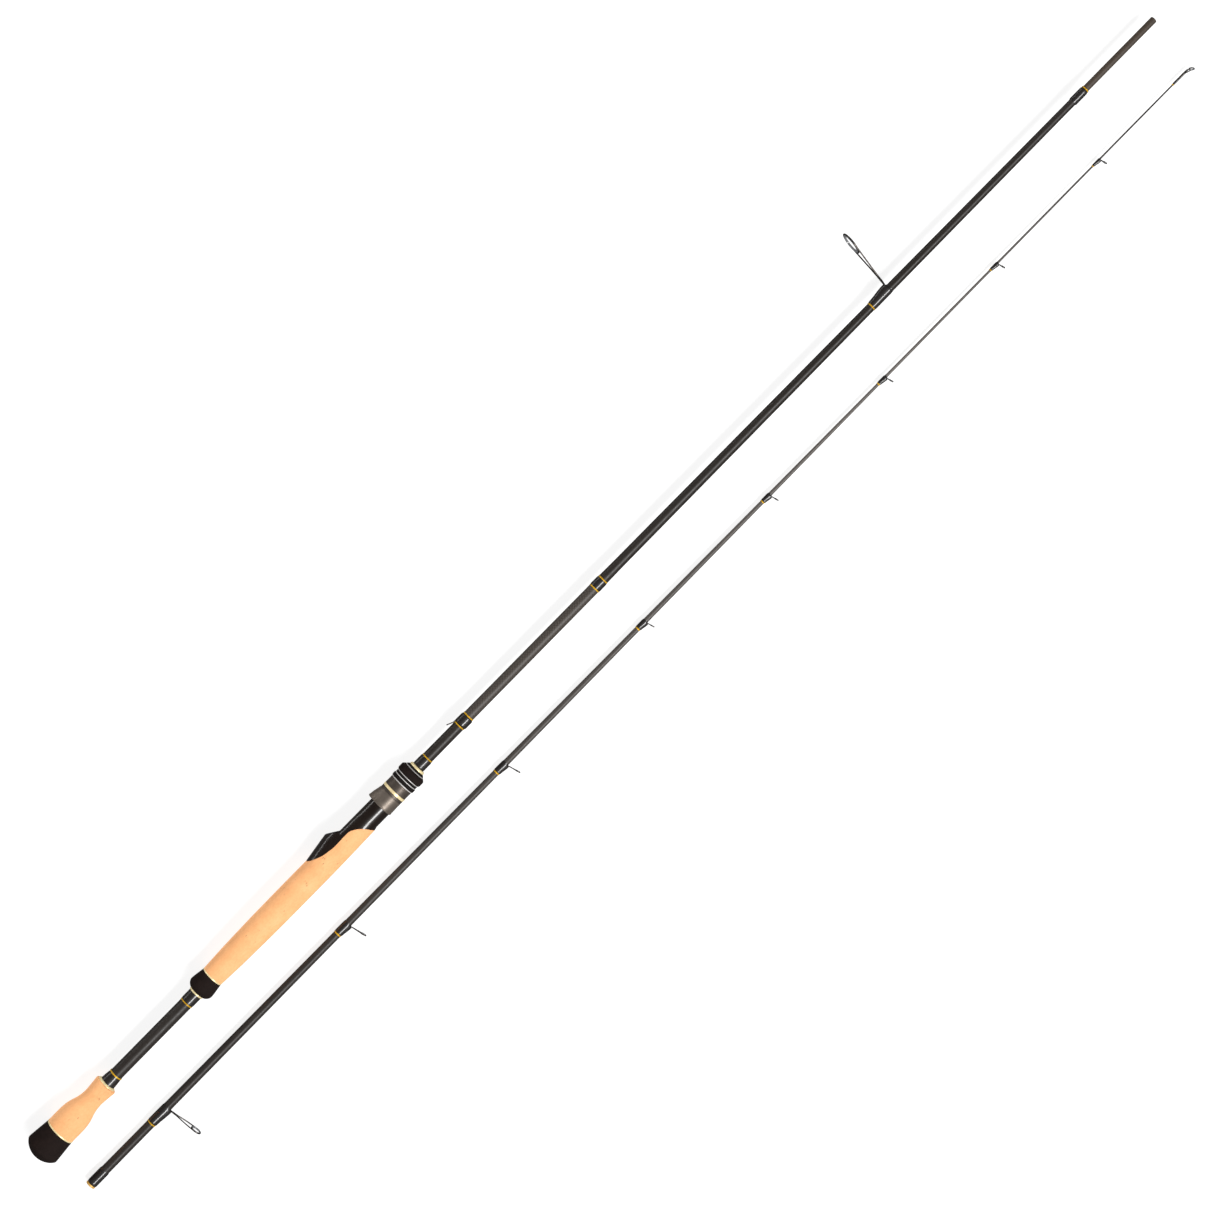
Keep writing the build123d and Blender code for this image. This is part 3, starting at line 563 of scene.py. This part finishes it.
# the tip's blank is solid in front, and widens at the rear for the socket's liner
TIP_BORE = [
    (1319, 0), (1008, 0), (1008, 0.4), (840, 0.85), (336, 2.3), (86, 2.9),
    (86, SOCKET_OUTER), (2, SOCKET_OUTER),
]
turned("tip_tube", tip, blank_top(tip, TIP_TAPER) + TIP_BORE, "carbon_gloss", TIP_BODY, "tip_blank", turns=64,
       materials=[MATERIALS["carbon_tip"]])
trim("socket_liner", tip, "socket_sleeve", SOCKET_BORE, SOCKET_OUTER, "carbon_ground", TIP_BODY, cut=0.1)
trim("socket_end_ring", tip, "socket_ring", SOCKET_BORE + 0.02, tip.reach("socket_ring"), "gold_anodised",
     "socket_end", cut=0.45, materials=[MATERIALS["gold_lacquer"]])
front = butt.span("ferrule_spigot")[1]
turned(
    "spigot_rod", butt,
    [(1215, 1.9), (1215, 2.4), (1258, 2.4), (1258, SPIGOT),
     (front - 0.5, SPIGOT), (front, 2.6), (front, 1.9)],
    "carbon_ground", BUTT_BODY, "ferrule_spigot", cut=0.3,
)
rear, front = butt.span("spigot_plug")
turned("spigot_stopper", butt, [(rear, 0), (rear, 1.85), (front, 1.85), (front, 1.1), (front - 0.5, 0)],
       "dark_resin", "ferrule_plug", "spigot_plug", cut=0.2, turns=48)

# ---------------------------------------------------------------- rear grip
DOME = 19.5
dome = [
    (DOME - DOME * math.cos(angle), DOME * math.sin(angle))
    for angle in (math.radians(degrees) for degrees in range(0, 47, 3))
]
corner = smooth_outline([dome[-1], (7.6, 15.3), (8.6, 15.63), (10.2, 15.6)], 6)
front = butt.span("butt_cap")[1]
turned(
    "cap_foam", butt,
    dome[:-1] + corner + [(front - 0.3, 13.78), (front, 13.5), (front, GRIP_BORE), (12, GRIP_BORE), (12, 0)],
    "eva_black", BUTT_BODY, "butt_cap", turns=SMOOTH_TURNS,
)
trim("cap_ring", butt, "butt_cap_ring", GRIP_BORE, butt.reach("butt_cap_ring"), "gold_anodised", BUTT_BODY,
     cut=0.3)
rear, front = butt.span("rear_cork")
base = [(rear, GRIP_BORE), (rear, 13.6), (rear + 0.3, 13.65), (37, 13.7)]
neck = smooth_outline(
    [(44.0, 13.65), (49.0, 13.2), (54.0, 12.1), (61.0, 9.95), (68.5, 9.0), (77.0, 9.55), (83.2, 10.25)], 8)
lip = [(84.0, 10.22), (84.6, 9.75), (front, 8.8), (front, GRIP_BORE)]
turned("cork_rear", butt, base + neck + lip, "cork", BUTT_BODY, "rear_cork", turns=SMOOTH_TURNS)
rear, front = butt.span("rear_check")
turned(
    "check_rear", butt,
    [(rear, GRIP_BORE), (rear, 8.7), (rear + 0.5, 8.6), (front, 7.2), (front, GRIP_BORE)],
    "gold_anodised", BUTT_BODY, "rear_check", cut=0.3,
)
wrap_bore = GRIP_BORE - SINK
rear_wrap = smooth_outline([(front, 6.9), (88.5, 6.85), (92.0, 6.55), (94.6, 6.2), (95.6, 5.9)], 6)
front_wrap = smooth_outline([(181.45, 5.95), (182.2, 6.2), (186.0, 6.24), (190.6, 6.24), (191.8, 6.15)], 6)
spun(
    "handle_thread", butt,
    [top + [(top[-1][0], wrap_bore), (top[0][0], wrap_bore)] for top in (rear_wrap, front_wrap)],
    "wrap_black", BUTT_BODY, "handle_wraps",
)

# ---------------------------------------------------------------- main grip
trim("check_grip", butt, "grip_check", MAIN_BORE, butt.reach("grip_check"), "gold_anodised", BUTT_BODY,
     cut=0.45)
rear, front = butt.span("grip_collar")
swell = smooth_outline(
    [(rear, 6.8), (193.9, 8.5), (195.2, 10.1), (197.2, 11.35), (199.2, 11.68), (202.5, 11.35)], 7)
turned("collar_foam", butt, swell + [(front, 10.05), (front, MAIN_BORE), (rear, MAIN_BORE)],
       "eva_black", BUTT_BODY, "grip_collar", turns=SMOOTH_TURNS)
trim("collar_ring", butt, "grip_collar_ring", MAIN_BORE, 10.15, "gold_anodised", BUTT_BODY, cut=0.3)

# the S-shaped front edge of the cork, as (distance, height toward the guides)
EDGE = smooth_outline(
    [(334.0, 16.0), (335.5, 13.5), (338.0, 11.3), (342.5, 8.2), (349.5, 5.2), (357.8, 3.75), (368.0, 3.5),
     (379.0, 3.3), (384.0, 1.4), (388.4, -1.8), (391.6, -5.6), (394.2, -10.0), (396.4, -14.0)], 12)
# its round surface, as (distance, radius)
CORK_TOP = smooth_outline(
    [(212.4, 10.05), (228.0, 10.8), (245.0, 11.35), (285.0, 12.0), (350.0, 12.0), (394.9, 11.2)], 12)


def cork_columns():
    """(angle from the guide side, distance) where the cork's front edge meets its round surface."""
    columns = []
    for along, high in EDGE:
        radius = value_at(CORK_TOP, along)
        if abs(high) < radius:
            columns.append((math.acos(high / radius), along))
    top = next(along for along, high in EDGE if high <= value_at(CORK_TOP, along))
    bottom = min(CORK_TOP[-1][0], columns[-1][1] + 0.2)
    half = [(0.0, top)] + columns + [(math.pi, bottom)]
    widest = math.radians(3)
    dense = []
    for (a, s), (b, e) in zip(half, half[1:]):
        count = max(1, math.ceil((b - a) / widest))
        dense += [(a + (b - a) * k / count, s + (e - s) * k / count) for k in range(count)]
    return dense + [half[-1]] + [(-a, s) for a, s in reversed(dense[1:])]


def main_cork():
    """Thick shell of cork, cut along the S-shaped edge."""
    mesh = bmesh.new()
    start = CORK_TOP[0][0]
    rows = 60
    seat_bore, seat_rear = 8.4, 330.0
    grid = []
    for angle, end in cork_columns():
        column = []
        for k in range(rows + 1):
            along = start + (end - start) * k / rows
            column.append((along, value_at(CORK_TOP, along)))
        column += [(end, seat_bore), (seat_rear, seat_bore), (seat_rear, 5.5), (start, 5.7)]
        grid.append([mesh.verts.new(butt.at(s, r * math.cos(angle), r * math.sin(angle))) for s, r in column])
    bridge(mesh, grid)
    return finished("cork_main", mesh, "cork", BUTT_BODY, ["main_cork"])


main_cork()

# ---------------------------------------------------------------- moving hood
def oval(angle, shift, high, wide):
    """Distance from the axis to an ellipse shifted toward the guides, at an angle from the guide side."""
    c, s = math.cos(angle), math.sin(angle)
    a = (c / high) ** 2 + (s / wide) ** 2
    b = -2 * c * shift / high**2
    return (-b + math.sqrt(b * b - 4 * a * ((shift / high) ** 2 - 1))) / (2 * a)


def keyed(angle, radius, land):
    """Distance from the axis to a circle cut off by a flat on the guide side."""
    c = math.cos(angle)
    return min(radius, land / c) if c > 0 else radius


def shell(name, stations, slot, body, node):
    """Closed shell through (distance, outer, inner) stations, both radii as functions of the angle."""
    turns = 144
    mesh = bmesh.new()
    grid = []
    for k in range(turns):
        angle = math.tau * k / turns
        outer = [(along, reach(angle)) for along, reach, _ in stations]
        inner = [(along, bore(angle)) for along, _, bore in reversed(stations)]
        grid.append([
            mesh.verts.new(butt.at(along, radius * math.cos(angle), radius * math.sin(angle)))
            for along, radius in outer + inner
        ])
    bridge(mesh, grid)
    return finished(name, mesh, slot, body, [node])


def hood_skin(shift, high, wide, ring, inset):
    """Outer radius of the moving hood: a round ring blended with a raised crown."""
    sharpness = 2.5
    most = 0.1

    def reach(angle):
        crown = oval(angle, shift, high, wide)
        blend = math.log(math.exp(sharpness * (crown - ring)) + 1) / sharpness
        return min(ring + blend, max(ring, crown) + most) - inset
    return reach


def hood_bore(pocket):
    """Inner radius of the moving hood: the keyed bore, opened by the pocket for the reel's foot."""
    def reach(angle):
        bore = keyed(angle, HOOD_BORE, HOOD_LAND)
        return max(bore, oval(angle, *pocket)) if pocket else bore
    return reach


POCKET_DEPTH = 10.5
HOOD_SECTIONS = [
    # distance from the mouth, shift, half height, half width, ring, inset
    (0.0, 4.5, 9.0, 9.3, 11.4, 0.45),
    (0.15, 4.5, 9.0, 9.3, 11.4, 0.15),
    (0.5, 4.5, 9.0, 9.3, 11.4, 0.0),
    (1.4, 4.5, 9.0, 9.3, 11.4, 0.0),
    (1.6, 4.5, 8.85, 9.2, 11.25, 0.0),
    (6.2, 4.2, 8.6, 9.2, 11.2, 0.0),
    (6.4, 4.1, 8.5, 9.1, 11.1, 0.0),
    (POCKET_DEPTH, 3.4, 8.3, 9.05, 11.1, 0.0),
    (POCKET_DEPTH + 0.02, 3.4, 8.3, 9.05, 11.1, 0.0),
    (12.4, 3.1, 8.2, 9.0, 11.1, 0.0),
    (12.8, 3.0, 8.2, 9.0, 11.1, 0.1),
    (13.0, 3.0, 8.2, 9.0, 11.1, 0.4),
]
hood_start = butt.span("moving_hood")[0]
stations = []
for offset, *skin in HOOD_SECTIONS:
    # shift, half height and half width of the pocket, which narrows toward its floor
    t = offset / POCKET_DEPTH
    pocket = (4.5 - 0.5 * t, 7.9 - 0.5 * t, 8.2 - 0.3 * t) if t <= 1 else None
    stations.append((hood_start + offset, hood_skin(*skin), hood_bore(pocket)))
shell("hood_moving", stations, "hood_gunmetal", HOOD_BODY, "moving_hood")
trim("hood_collar_ring", butt, "hood_collar", HOOD_BORE, butt.reach("hood_collar"), "nut_grey", HOOD_BODY,
     cut=0.25)

# ---------------------------------------------------------------- lock nut and front of the handle
trim("nut_ring_gold", butt, "nut_gold_ring", NUT_INNER, 11.25, "gold_anodised", NUT_BODY, cut=0.4)
RIDGES = 19
rear, front = butt.span("nut_sleeve")
ribs = []
for k in range(RIDGES):
    along = rear + 0.2 + (front - rear - 0.4) * k / (RIDGES - 1)
    ribs.append((along, 11.08 if k % 2 == 0 else 10.98))
turned("nut_sleeve_ribbed", butt, [(rear, NUT_INNER)] + ribs + [(front, NUT_INNER)], "nut_grey", NUT_BODY,
       "nut_sleeve", cut=0.08)
rubber = [(439.4, 442.6, 11.8), (443.4, 445.6, 11.2)]
spun("nut_rubber", butt, [box_outline(start, end, NUT_INNER, outer) for start, end, outer in rubber],
     "rubber_black", NUT_BODY, "nut_black_rings", cut=0.9)
rings = [(438.4, 439.4), (442.6, 443.4), (445.6, 446.4)]
silver = [box_outline(start, end, NUT_INNER, 11.35) for start, end in rings]
silver.append([(453.9, NOSE_BORE), (453.9, 10.15), (454.5, 9.55), (454.5, NOSE_BORE)])
spun("nut_rings_silver", butt, silver, "silver_trim", NUT_BODY, "nut_silver_rings", cut=0.3)
turned(
    "nut_knob", butt,
    [(446.4, NUT_INNER), (446.4, 11.6), (447.4, 12.2), (452.0, 12.2), (453.9, 10.15), (453.9, NOSE_BORE),
     (452.2, NOSE_BORE), (452.2, 10.0), (451.5, 10.0), (451.5, NUT_INNER)],
    "eva_black", NUT_BODY, "fore_grip", cut=0.5,
)
turned("nut_nose", butt, [(454.5, NOSE_BORE), (454.5, 9.5), (456.0, 7.9), (456.0, NOSE_BORE)], "rubber_black",
       NUT_BODY, "nut_end_cap", cut=0.3)
turned("check_front", butt, [(456.3, 5.1), (456.3, 7.5), (457.2, 7.5), (458.4, 6.6), (458.4, 5.1)],
       "gold_anodised", BUTT_BODY, "front_check", cut=0.35)

# ---------------------------------------------------------------- thread on the two sections
# the band nearest the rear grip lies on a thicker wrap
spun("butt_gold_thread", butt, [strands(butt, place, 0.4 if place < 100 else 0.2) for place in BUTT_BANDS],
     "gold_thread", BUTT_BODY, "butt_gold_bands")
spun("tip_gold_thread", tip, [strands(tip, place, 0.18) for place in TIP_BANDS], "gold_thread", TIP_BODY,
     "tip_gold_bands", turns=48)
for name, start, end, height, fade in [
    ("front_wrap", 458.4, 468.75, 0.55, 1.0),
    ("hook_keeper_wrap", 507.95, 517.95, 0.9, 1.6),
    ("marker_wrap", 669.85, 679.05, 0.42, 0.9),
    ("ferrule_wrap", 1241.8, 1256.55, 0.6, 1.4),
]:
    outline = wrap_outline(butt, start, end, height, fade)
    turned(name + "_thread", butt, outline, "wrap_black", BUTT_BODY, name)
turned("socket_thread", tip, wrap_outline(tip, 2.0, 18.3, 0.45, 1.2), "wrap_black", TIP_BODY, "socket_wrap")
turned("tip_top_thread", tip, wrap_outline(tip, 1303.75, 1311.0, 0.4, 0.8), "wrap_black", TIP_BODY,
       "tip_top_wrap", turns=48)


# ---------------------------------------------------------------- guides
class Guide:
    """A single-foot guide: its ring comes from the CAD ring node, its lean and foot from the design."""

    def __init__(self, section, node, base, top, radius, lean, plate, foot, twist=0.0, bow=0.0):
        self.section = section
        self.body = BUTT_BODY if section is butt else TIP_BODY
        self.node = node
        self.base = base
        self.radius = radius
        self.plate = plate
        self.foot = foot
        self.hole = 0.95 * radius - 0.2 * plate - 0.15
        self.stem = 0.2 * radius + 0.35
        self.bow = bow
        self.seat = section.radius(base)
        lean, twist = math.radians(lean), math.radians(twist)
        self.centre = (top - self.seat) / math.cos(lean) - radius
        self.fork = 0.3 * (self.centre - radius)
        self.up = section.up * math.cos(lean) + section.axis * math.sin(lean)
        straight = section.axis * math.cos(lean) - section.up * math.sin(lean)
        self.ahead = straight * math.cos(twist) - section.side * math.sin(twist)
        self.side = section.side * math.cos(twist) + straight * math.sin(twist)

    def at(self, aside, rise, ahead=0.0):
        """Point beside, up and in front of the frame's foot, in the frame's own plane."""
        step = self.side * aside + self.up * rise + self.ahead * ahead
        return self.section.at(self.base, self.seat) + step * MM


def sweep(mesh, frames):
    """Adds a closed tube through (centre, across, thick) frames in metres, with rounded corners."""
    corners = 16
    squareness = 0.6
    loops = []
    for centre, across, thick in frames:
        loop = []
        for k in range(corners):
            angle = math.tau * (k + 0.5) / corners
            c, s = math.cos(angle), math.sin(angle)
            x = math.copysign(abs(c) ** squareness, c)
            y = math.copysign(abs(s) ** squareness, s)
            loop.append(mesh.verts.new(centre + across * x + thick * y))
        loops.append(loop)
    bridge(mesh, loops, closed=False)
    mesh.faces.new(loops[0])
    mesh.faces.new(loops[-1])


def weld(piece, voxel):
    """Joins a piece's overlapping shells into one smooth closed skin."""
    remesh = piece.modifiers.new("weld", "REMESH")
    remesh.mode = "VOXEL"
    remesh.voxel_size = voxel * MM
    remesh.use_smooth_shade = True
    soften = piece.modifiers.new("soften", "SMOOTH")
    soften.factor = 0.5
    soften.iterations = 2
    bpy.context.view_layer.update()
    grid = piece.evaluated_get(bpy.context.evaluated_depsgraph_get())
    mesh = bpy.data.meshes.new_from_object(grid)
    old = piece.data
    piece.modifiers.clear()
    piece.data = mesh
    mesh.name = old.name
    bpy.data.meshes.remove(old)
    for polygon in mesh.polygons:
        polygon.use_smooth = True


def guide_frame(guide, voxel):
    """Foot, stem, two legs and ring holder, welded and replacing the CAD frame."""
    section, plate, stem = guide.section, guide.plate, guide.stem
    mesh = bmesh.new()
    side, up, ahead = guide.side * MM, guide.up * MM, guide.ahead * MM
    rise, back = section.up * MM, -section.axis * MM
    # foot and stem, one bent strip
    foot_start = guide.base - guide.foot
    foot_seat = section.radius(foot_start)
    frames = []
    for t in (0.0, 0.05, 0.2, 0.45, 0.7, 0.85):
        along = foot_start + (guide.base - 1.4 * plate - foot_start) * t / 0.85
        half = stem * (0.35 + 0.65 * smooth_step(t / 0.6))
        thick = plate * (0.12 + 0.3 * smooth_step(t / 0.85))
        high = foot_seat + (guide.seat - foot_seat) * t + thick * 0.6
        frames.append((section.at(along, high), side * half, rise * thick))
    bend = section.at(guide.base - 0.8 * plate, guide.seat + 0.5 * plate)
    frames.append((bend, side * stem, (rise * 0.9 + back * 0.3).normalized() * MM * plate * 0.48))
    bend = guide.at(0, 0.9 * plate, -0.1 * plate)
    frames.append((bend, side * stem, (rise + back).normalized() * MM * plate * 0.5))
    for t in (0.35, 0.7, 1.0):
        level = 2.0 * plate + (guide.fork - 2.0 * plate) * t
        frames.append((guide.at(0, level), side * stem * (1.05 - 0.1 * t), -ahead * plate * 0.58))
    frames.append((guide.at(0, guide.fork + 0.6 * stem), side * stem * 0.85, -ahead * plate * 0.56))
    sweep(mesh, frames)
    # two legs from the fork to the sides of the ring
    height = guide.centre - guide.fork
    tilt = math.asin((guide.radius - stem) / height)
    wide = 0.5 * plate
    for sign in (-1, 1):
        low = Vector((sign * (stem * math.cos(tilt) - wide), guide.fork + stem * math.sin(tilt)))
        high = Vector((sign * (guide.radius * math.cos(tilt) - wide), guide.centre))
        run = (high - low).normalized()
        across = side * run.y * wide - up * run.x * wide
        frames = []
        for t in (-0.04, 0.1, 0.3, 0.5, 0.7, 0.9, 1.0):
            place = low + (high - low) * t
            place.x += sign * guide.bow * math.sin(math.pi * max(0, t))
            frames.append((guide.at(place.x, place.y), across, -ahead * plate * 0.48))
        sweep(mesh, frames)
    # ring holder
    holder = rounded(box_outline(-plate / 2, plate / 2, guide.hole + 0.02, guide.radius), 0.4 * plate)
    spin(mesh, guide.at(0, guide.centre), ahead.normalized(), up.normalized(), holder, RING_TURNS)
    weld(finished(guide.node + "_bent", mesh, "guide_steel", guide.body, [guide.node + "_frame"]), voxel)


def ceramic_insert(node, centre, ahead, up, outer, inner, half, body):
    """Polished ceramic ring with a round inside."""
    points = 18
    squareness = 0.75
    mid = (inner + outer) / 2
    profile = []
    for k in range(points):
        angle = math.tau * k / points
        c, s = math.cos(angle), math.sin(angle)
        radial = mid + (outer - mid) * math.copysign(abs(c) ** squareness, c)
        profile.append((half * math.copysign(abs(s) ** squareness, s), radial))
    mesh = bmesh.new()
    spin(mesh, centre, ahead, up, profile, RING_TURNS)
    finished(node + "_insert", mesh, "guide_ceramic", body, [node + "_ring"], sharp=60)


def guide_ring(guide):
    centre, outer = middle(guide.node + "_ring"), guide.hole
    ceramic_insert(guide.node, centre, guide.ahead, guide.up, outer, 0.8 * outer, 0.75 * guide.plate,
                   guide.body)


# the tip-top, turned about the blank as in the photograph
TOP_TURN = -20  # degrees
TOP_LEAN = 45  # degrees
TOP_TUBE = [
    (1311.0, 0.72), (1311.0, 1.05), (1316.5, 1.05), (1319.0, 0.92), (1321.0, 0.62), (1321.6, 0.3),
    (1321.6, 0), (1319.4, 0), (1319.4, 0.72),
]
TOP_ARM = [
    (1314.5, 0.1, 0.6), (1317.5, 0.35, 0.85), (1320.6, 1.0, 1.65), (1323.0, 1.75, 2.2), (1324.3, 2.5, 2.26),
]
TOP_WIRE = 0.42  # half the thickness of arms and ring
TOP_RING = (2.07, 2.6)  # inner and outer radius
TOP_INSERT = (2.05, 1.45, 0.55)  # outer radius, inner radius, half thickness


def tip_top():
    """Tube over the blank's end, two arms curving out of it, and the leaning ring they hold."""
    turn = Matrix.Rotation(math.radians(TOP_TURN), 3, tip.axis)

    def swung(point):
        return tip.origin + turn @ (point - tip.origin)

    mesh = bmesh.new()
    spin(mesh, tip.origin, tip.axis, tip.up, rounded(TOP_TUBE, 0.2), 48)
    for sign in (-1, 1):
        points = smooth_path([swung(tip.at(along, high, sign * aside)) for along, high, aside in TOP_ARM], 6)
        frames = []
        for k, here in enumerate(points):
            before, after = points[max(0, k - 1)], points[min(k + 1, len(points) - 1)]
            run = (after - before).normalized()
            across = run.cross(turn @ tip.up).normalized()
            # the arm thins out where it meets the ring
            size = TOP_WIRE * MM * min(1.0, 0.3 + 0.7 * (len(points) - 1 - k) / 8)
            frames.append((here, across * size, run.cross(across) * size))
        sweep(mesh, frames)
    centre = swung(middle("tip_top_ring"))
    lean = math.radians(TOP_LEAN)
    ahead = turn @ (tip.axis * math.cos(lean) - tip.up * math.sin(lean))
    up = turn @ (tip.up * math.cos(lean) + tip.axis * math.sin(lean))
    spin(mesh, centre, ahead, up, rounded(box_outline(-TOP_WIRE, TOP_WIRE, *TOP_RING), 0.2), RING_TURNS)
    weld(finished("tip_top_bent", mesh, "guide_steel", TIP_BODY, ["tip_top_frame"]), 0.07)
    ceramic_insert("tip_top", centre, ahead, up, *TOP_INSERT, TIP_BODY)


def humped_wrap(mesh, guide, start):
    """Thread wrap that climbs over a guide's foot and closes in front of its stem."""
    section, plate = guide.section, guide.plate
    end = guide.base + 1.2 * plate
    crest = guide.base - 0.9 * plate
    stations = [start + (crest - start) * k / 24 for k in range(25)]
    stations += [crest + (end - crest) * k / 8 for k in range(1, 9)]
    loops = []
    turns = 64
    angles = [math.tau * k / turns for k in range(turns)]
    for along in stations:
        if along < crest:
            fade = math.sqrt(smooth_step((along - start) / 0.7))
        else:
            fade = 1 - smooth_step((along - crest) / (end - crest))
        cover = 0.08 + 0.34 * fade
        hump = plate * (0.15 + 1.25 * smooth_step((along - start) / (crest - start))) * fade
        width = max(guide.stem, 0.5) / section.radius(along)
        loop = []
        for angle in angles:
            off = angle if angle < math.pi else angle - math.tau
            lift = hump * math.exp(-((off / (1.05 * width + 0.35)) ** 2))
            radius = section.radius(along) + cover + lift
            loop.append(mesh.verts.new(section.at(along, radius * math.cos(angle), radius * math.sin(angle))))
        loops.append(loop)
    for along in (end, start):
        radius = section.radius(along) - SINK
        loops.append([
            mesh.verts.new(section.at(along, radius * math.cos(angle), radius * math.sin(angle)))
            for angle in angles
        ])
    bridge(mesh, loops)


stripper = Guide(
    butt, "stripper", base=1022.0, top=59.6, radius=10.5, lean=6.5, plate=1.3, foot=17.0, twist=3.0)
guide_frame(stripper, 0.2)
guide_ring(stripper)
mesh = bmesh.new()
stripper_band = BUTT_BANDS[7]
humped_wrap(mesh, stripper, stripper_band + BAND / 2)
finished("stripper_thread", mesh, "wrap_black", BUTT_BODY, ["stripper_wrap"])

# top above the axis, ring radius, lean, and distance in front of the gold band, of each tip guide
TIP_GUIDES = [
    (36.0, 5.0, 7.0, 18.5), (18.7, 3.0, 13.0, 12.0), (14.7, 2.6, 15.0, 10.8), (9.3, 2.2, 15.0, 9.0),
    (9.0, 2.2, 14.0, 8.6), (8.0, 2.15, 14.0, 8.6), (7.7, 2.1, 14.0, 8.4), (7.2, 2.1, 14.0, 8.4),
]
wraps = bmesh.new()
for number, (band, (top, radius, lean, gap)) in enumerate(zip(TIP_BANDS, TIP_GUIDES), start=1):
    plate = 0.62 + 0.08 * radius
    # the first one is bowed, and twisted as in the photograph
    twist, bow, voxel = (6.5, 0.8, 0.13) if number == 1 else (0.0, 0.0, 0.1)
    guide = Guide(tip, f"guide_{number}", band + gap, top, radius, lean, plate, gap - 1.5, twist, bow)
    guide_frame(guide, voxel)
    guide_ring(guide)
    humped_wrap(wraps, guide, band + BAND / 2)
finished("tip_guide_threads", wraps, "wrap_black", TIP_BODY, ["tip_guide_wraps"])
tip_top()

# ---------------------------------------------------------------- CAD nodes that stay
slots = {row["node"]: row["material_slot"] for row in frame["record"]["subparts"]}
for node, shown in frame["nodes"].items():
    if not shown.hide_render:
        shown.data.materials.clear()
        shown.data.materials.append(MATERIALS[slots[node]])

# ---------------------------------------------------------------- floor, light and camera
# metres and degrees
CENTRE = Vector((-0.0045, -0.0055, 0.016))
CAMERA_HEIGHT = 2.3
FRAME_WIDTH = 1.02
CAMERA_TURN = -45.47
SENSOR = 36.0
FLOOR_GAP = 0.0002
FLOOR_GLOW = 0.78  # keeps the floor near white
WORLD_GLOW = 0.11

floor_mesh = bmesh.new()
bmesh.ops.create_grid(floor_mesh, x_segments=1, y_segments=1, size=40.0)
floor_data = bpy.data.meshes.new("floor")
floor_mesh.to_mesh(floor_data)
floor_mesh.free()
floor = bpy.data.objects.new("floor", floor_data)
bpy.context.scene.collection.objects.link(floor)
floor.location.z = cad_low.z - FLOOR_GAP
paper = Recipe("floor_paper", (0.36, 0.36, 0.36), 0.9, Specular_IOR_Level=0.0)
paper.shader.inputs["Emission Color"].default_value = (1, 1, 1, 1)
paper.shader.inputs["Emission Strength"].default_value = FLOOR_GLOW
floor_data.materials.append(paper.material)
floor.visible_glossy = False


def softbox(name, direction, distance, size, power, mirrored=True):
    """Rectangular soft light aimed at the rod, seen in its reflections or not."""
    lamp = bpy.data.lights.new(name, "AREA")
    lamp.shape = "RECTANGLE"
    lamp.size, lamp.size_y = size
    lamp.energy = power
    holder = bpy.data.objects.new(name, lamp)
    bpy.context.scene.collection.objects.link(holder)
    aim = Vector(direction).normalized()
    holder.location = CENTRE + aim * distance
    holder.rotation_mode = "QUATERNION"
    holder.rotation_quaternion = aim.to_track_quat("Z", "Y")
    holder.visible_glossy = mirrored


softbox("key_light", (0.0, -0.6, 0.8), 2.6, (3.0, 0.7), 96)
softbox("fill_light", (0.0, 0.8, 0.6), 2.8, (3.2, 1.8), 44, mirrored=False)
softbox("rim_light", (0.0, 0.98, 0.2), 2.4, (3.4, 0.16), 9)

world = bpy.data.worlds.new("studio")
world.use_nodes = True
backdrop = world.node_tree.nodes["Background"]
backdrop.inputs["Color"].default_value = (1, 1, 1, 1)
backdrop.inputs["Strength"].default_value = WORLD_GLOW
bpy.context.scene.world = world
bpy.context.scene.view_settings.view_transform = "Standard"

camera_data = bpy.data.cameras.new("camera")
camera_data.sensor_width = SENSOR
camera_data.lens = SENSOR * CAMERA_HEIGHT / FRAME_WIDTH
camera = bpy.data.objects.new("camera", camera_data)
bpy.context.scene.collection.objects.link(camera)
camera.location = CENTRE + Vector((0, 0, CAMERA_HEIGHT))
camera.rotation_euler = (0, 0, math.radians(CAMERA_TURN))
bpy.context.scene.camera = camera
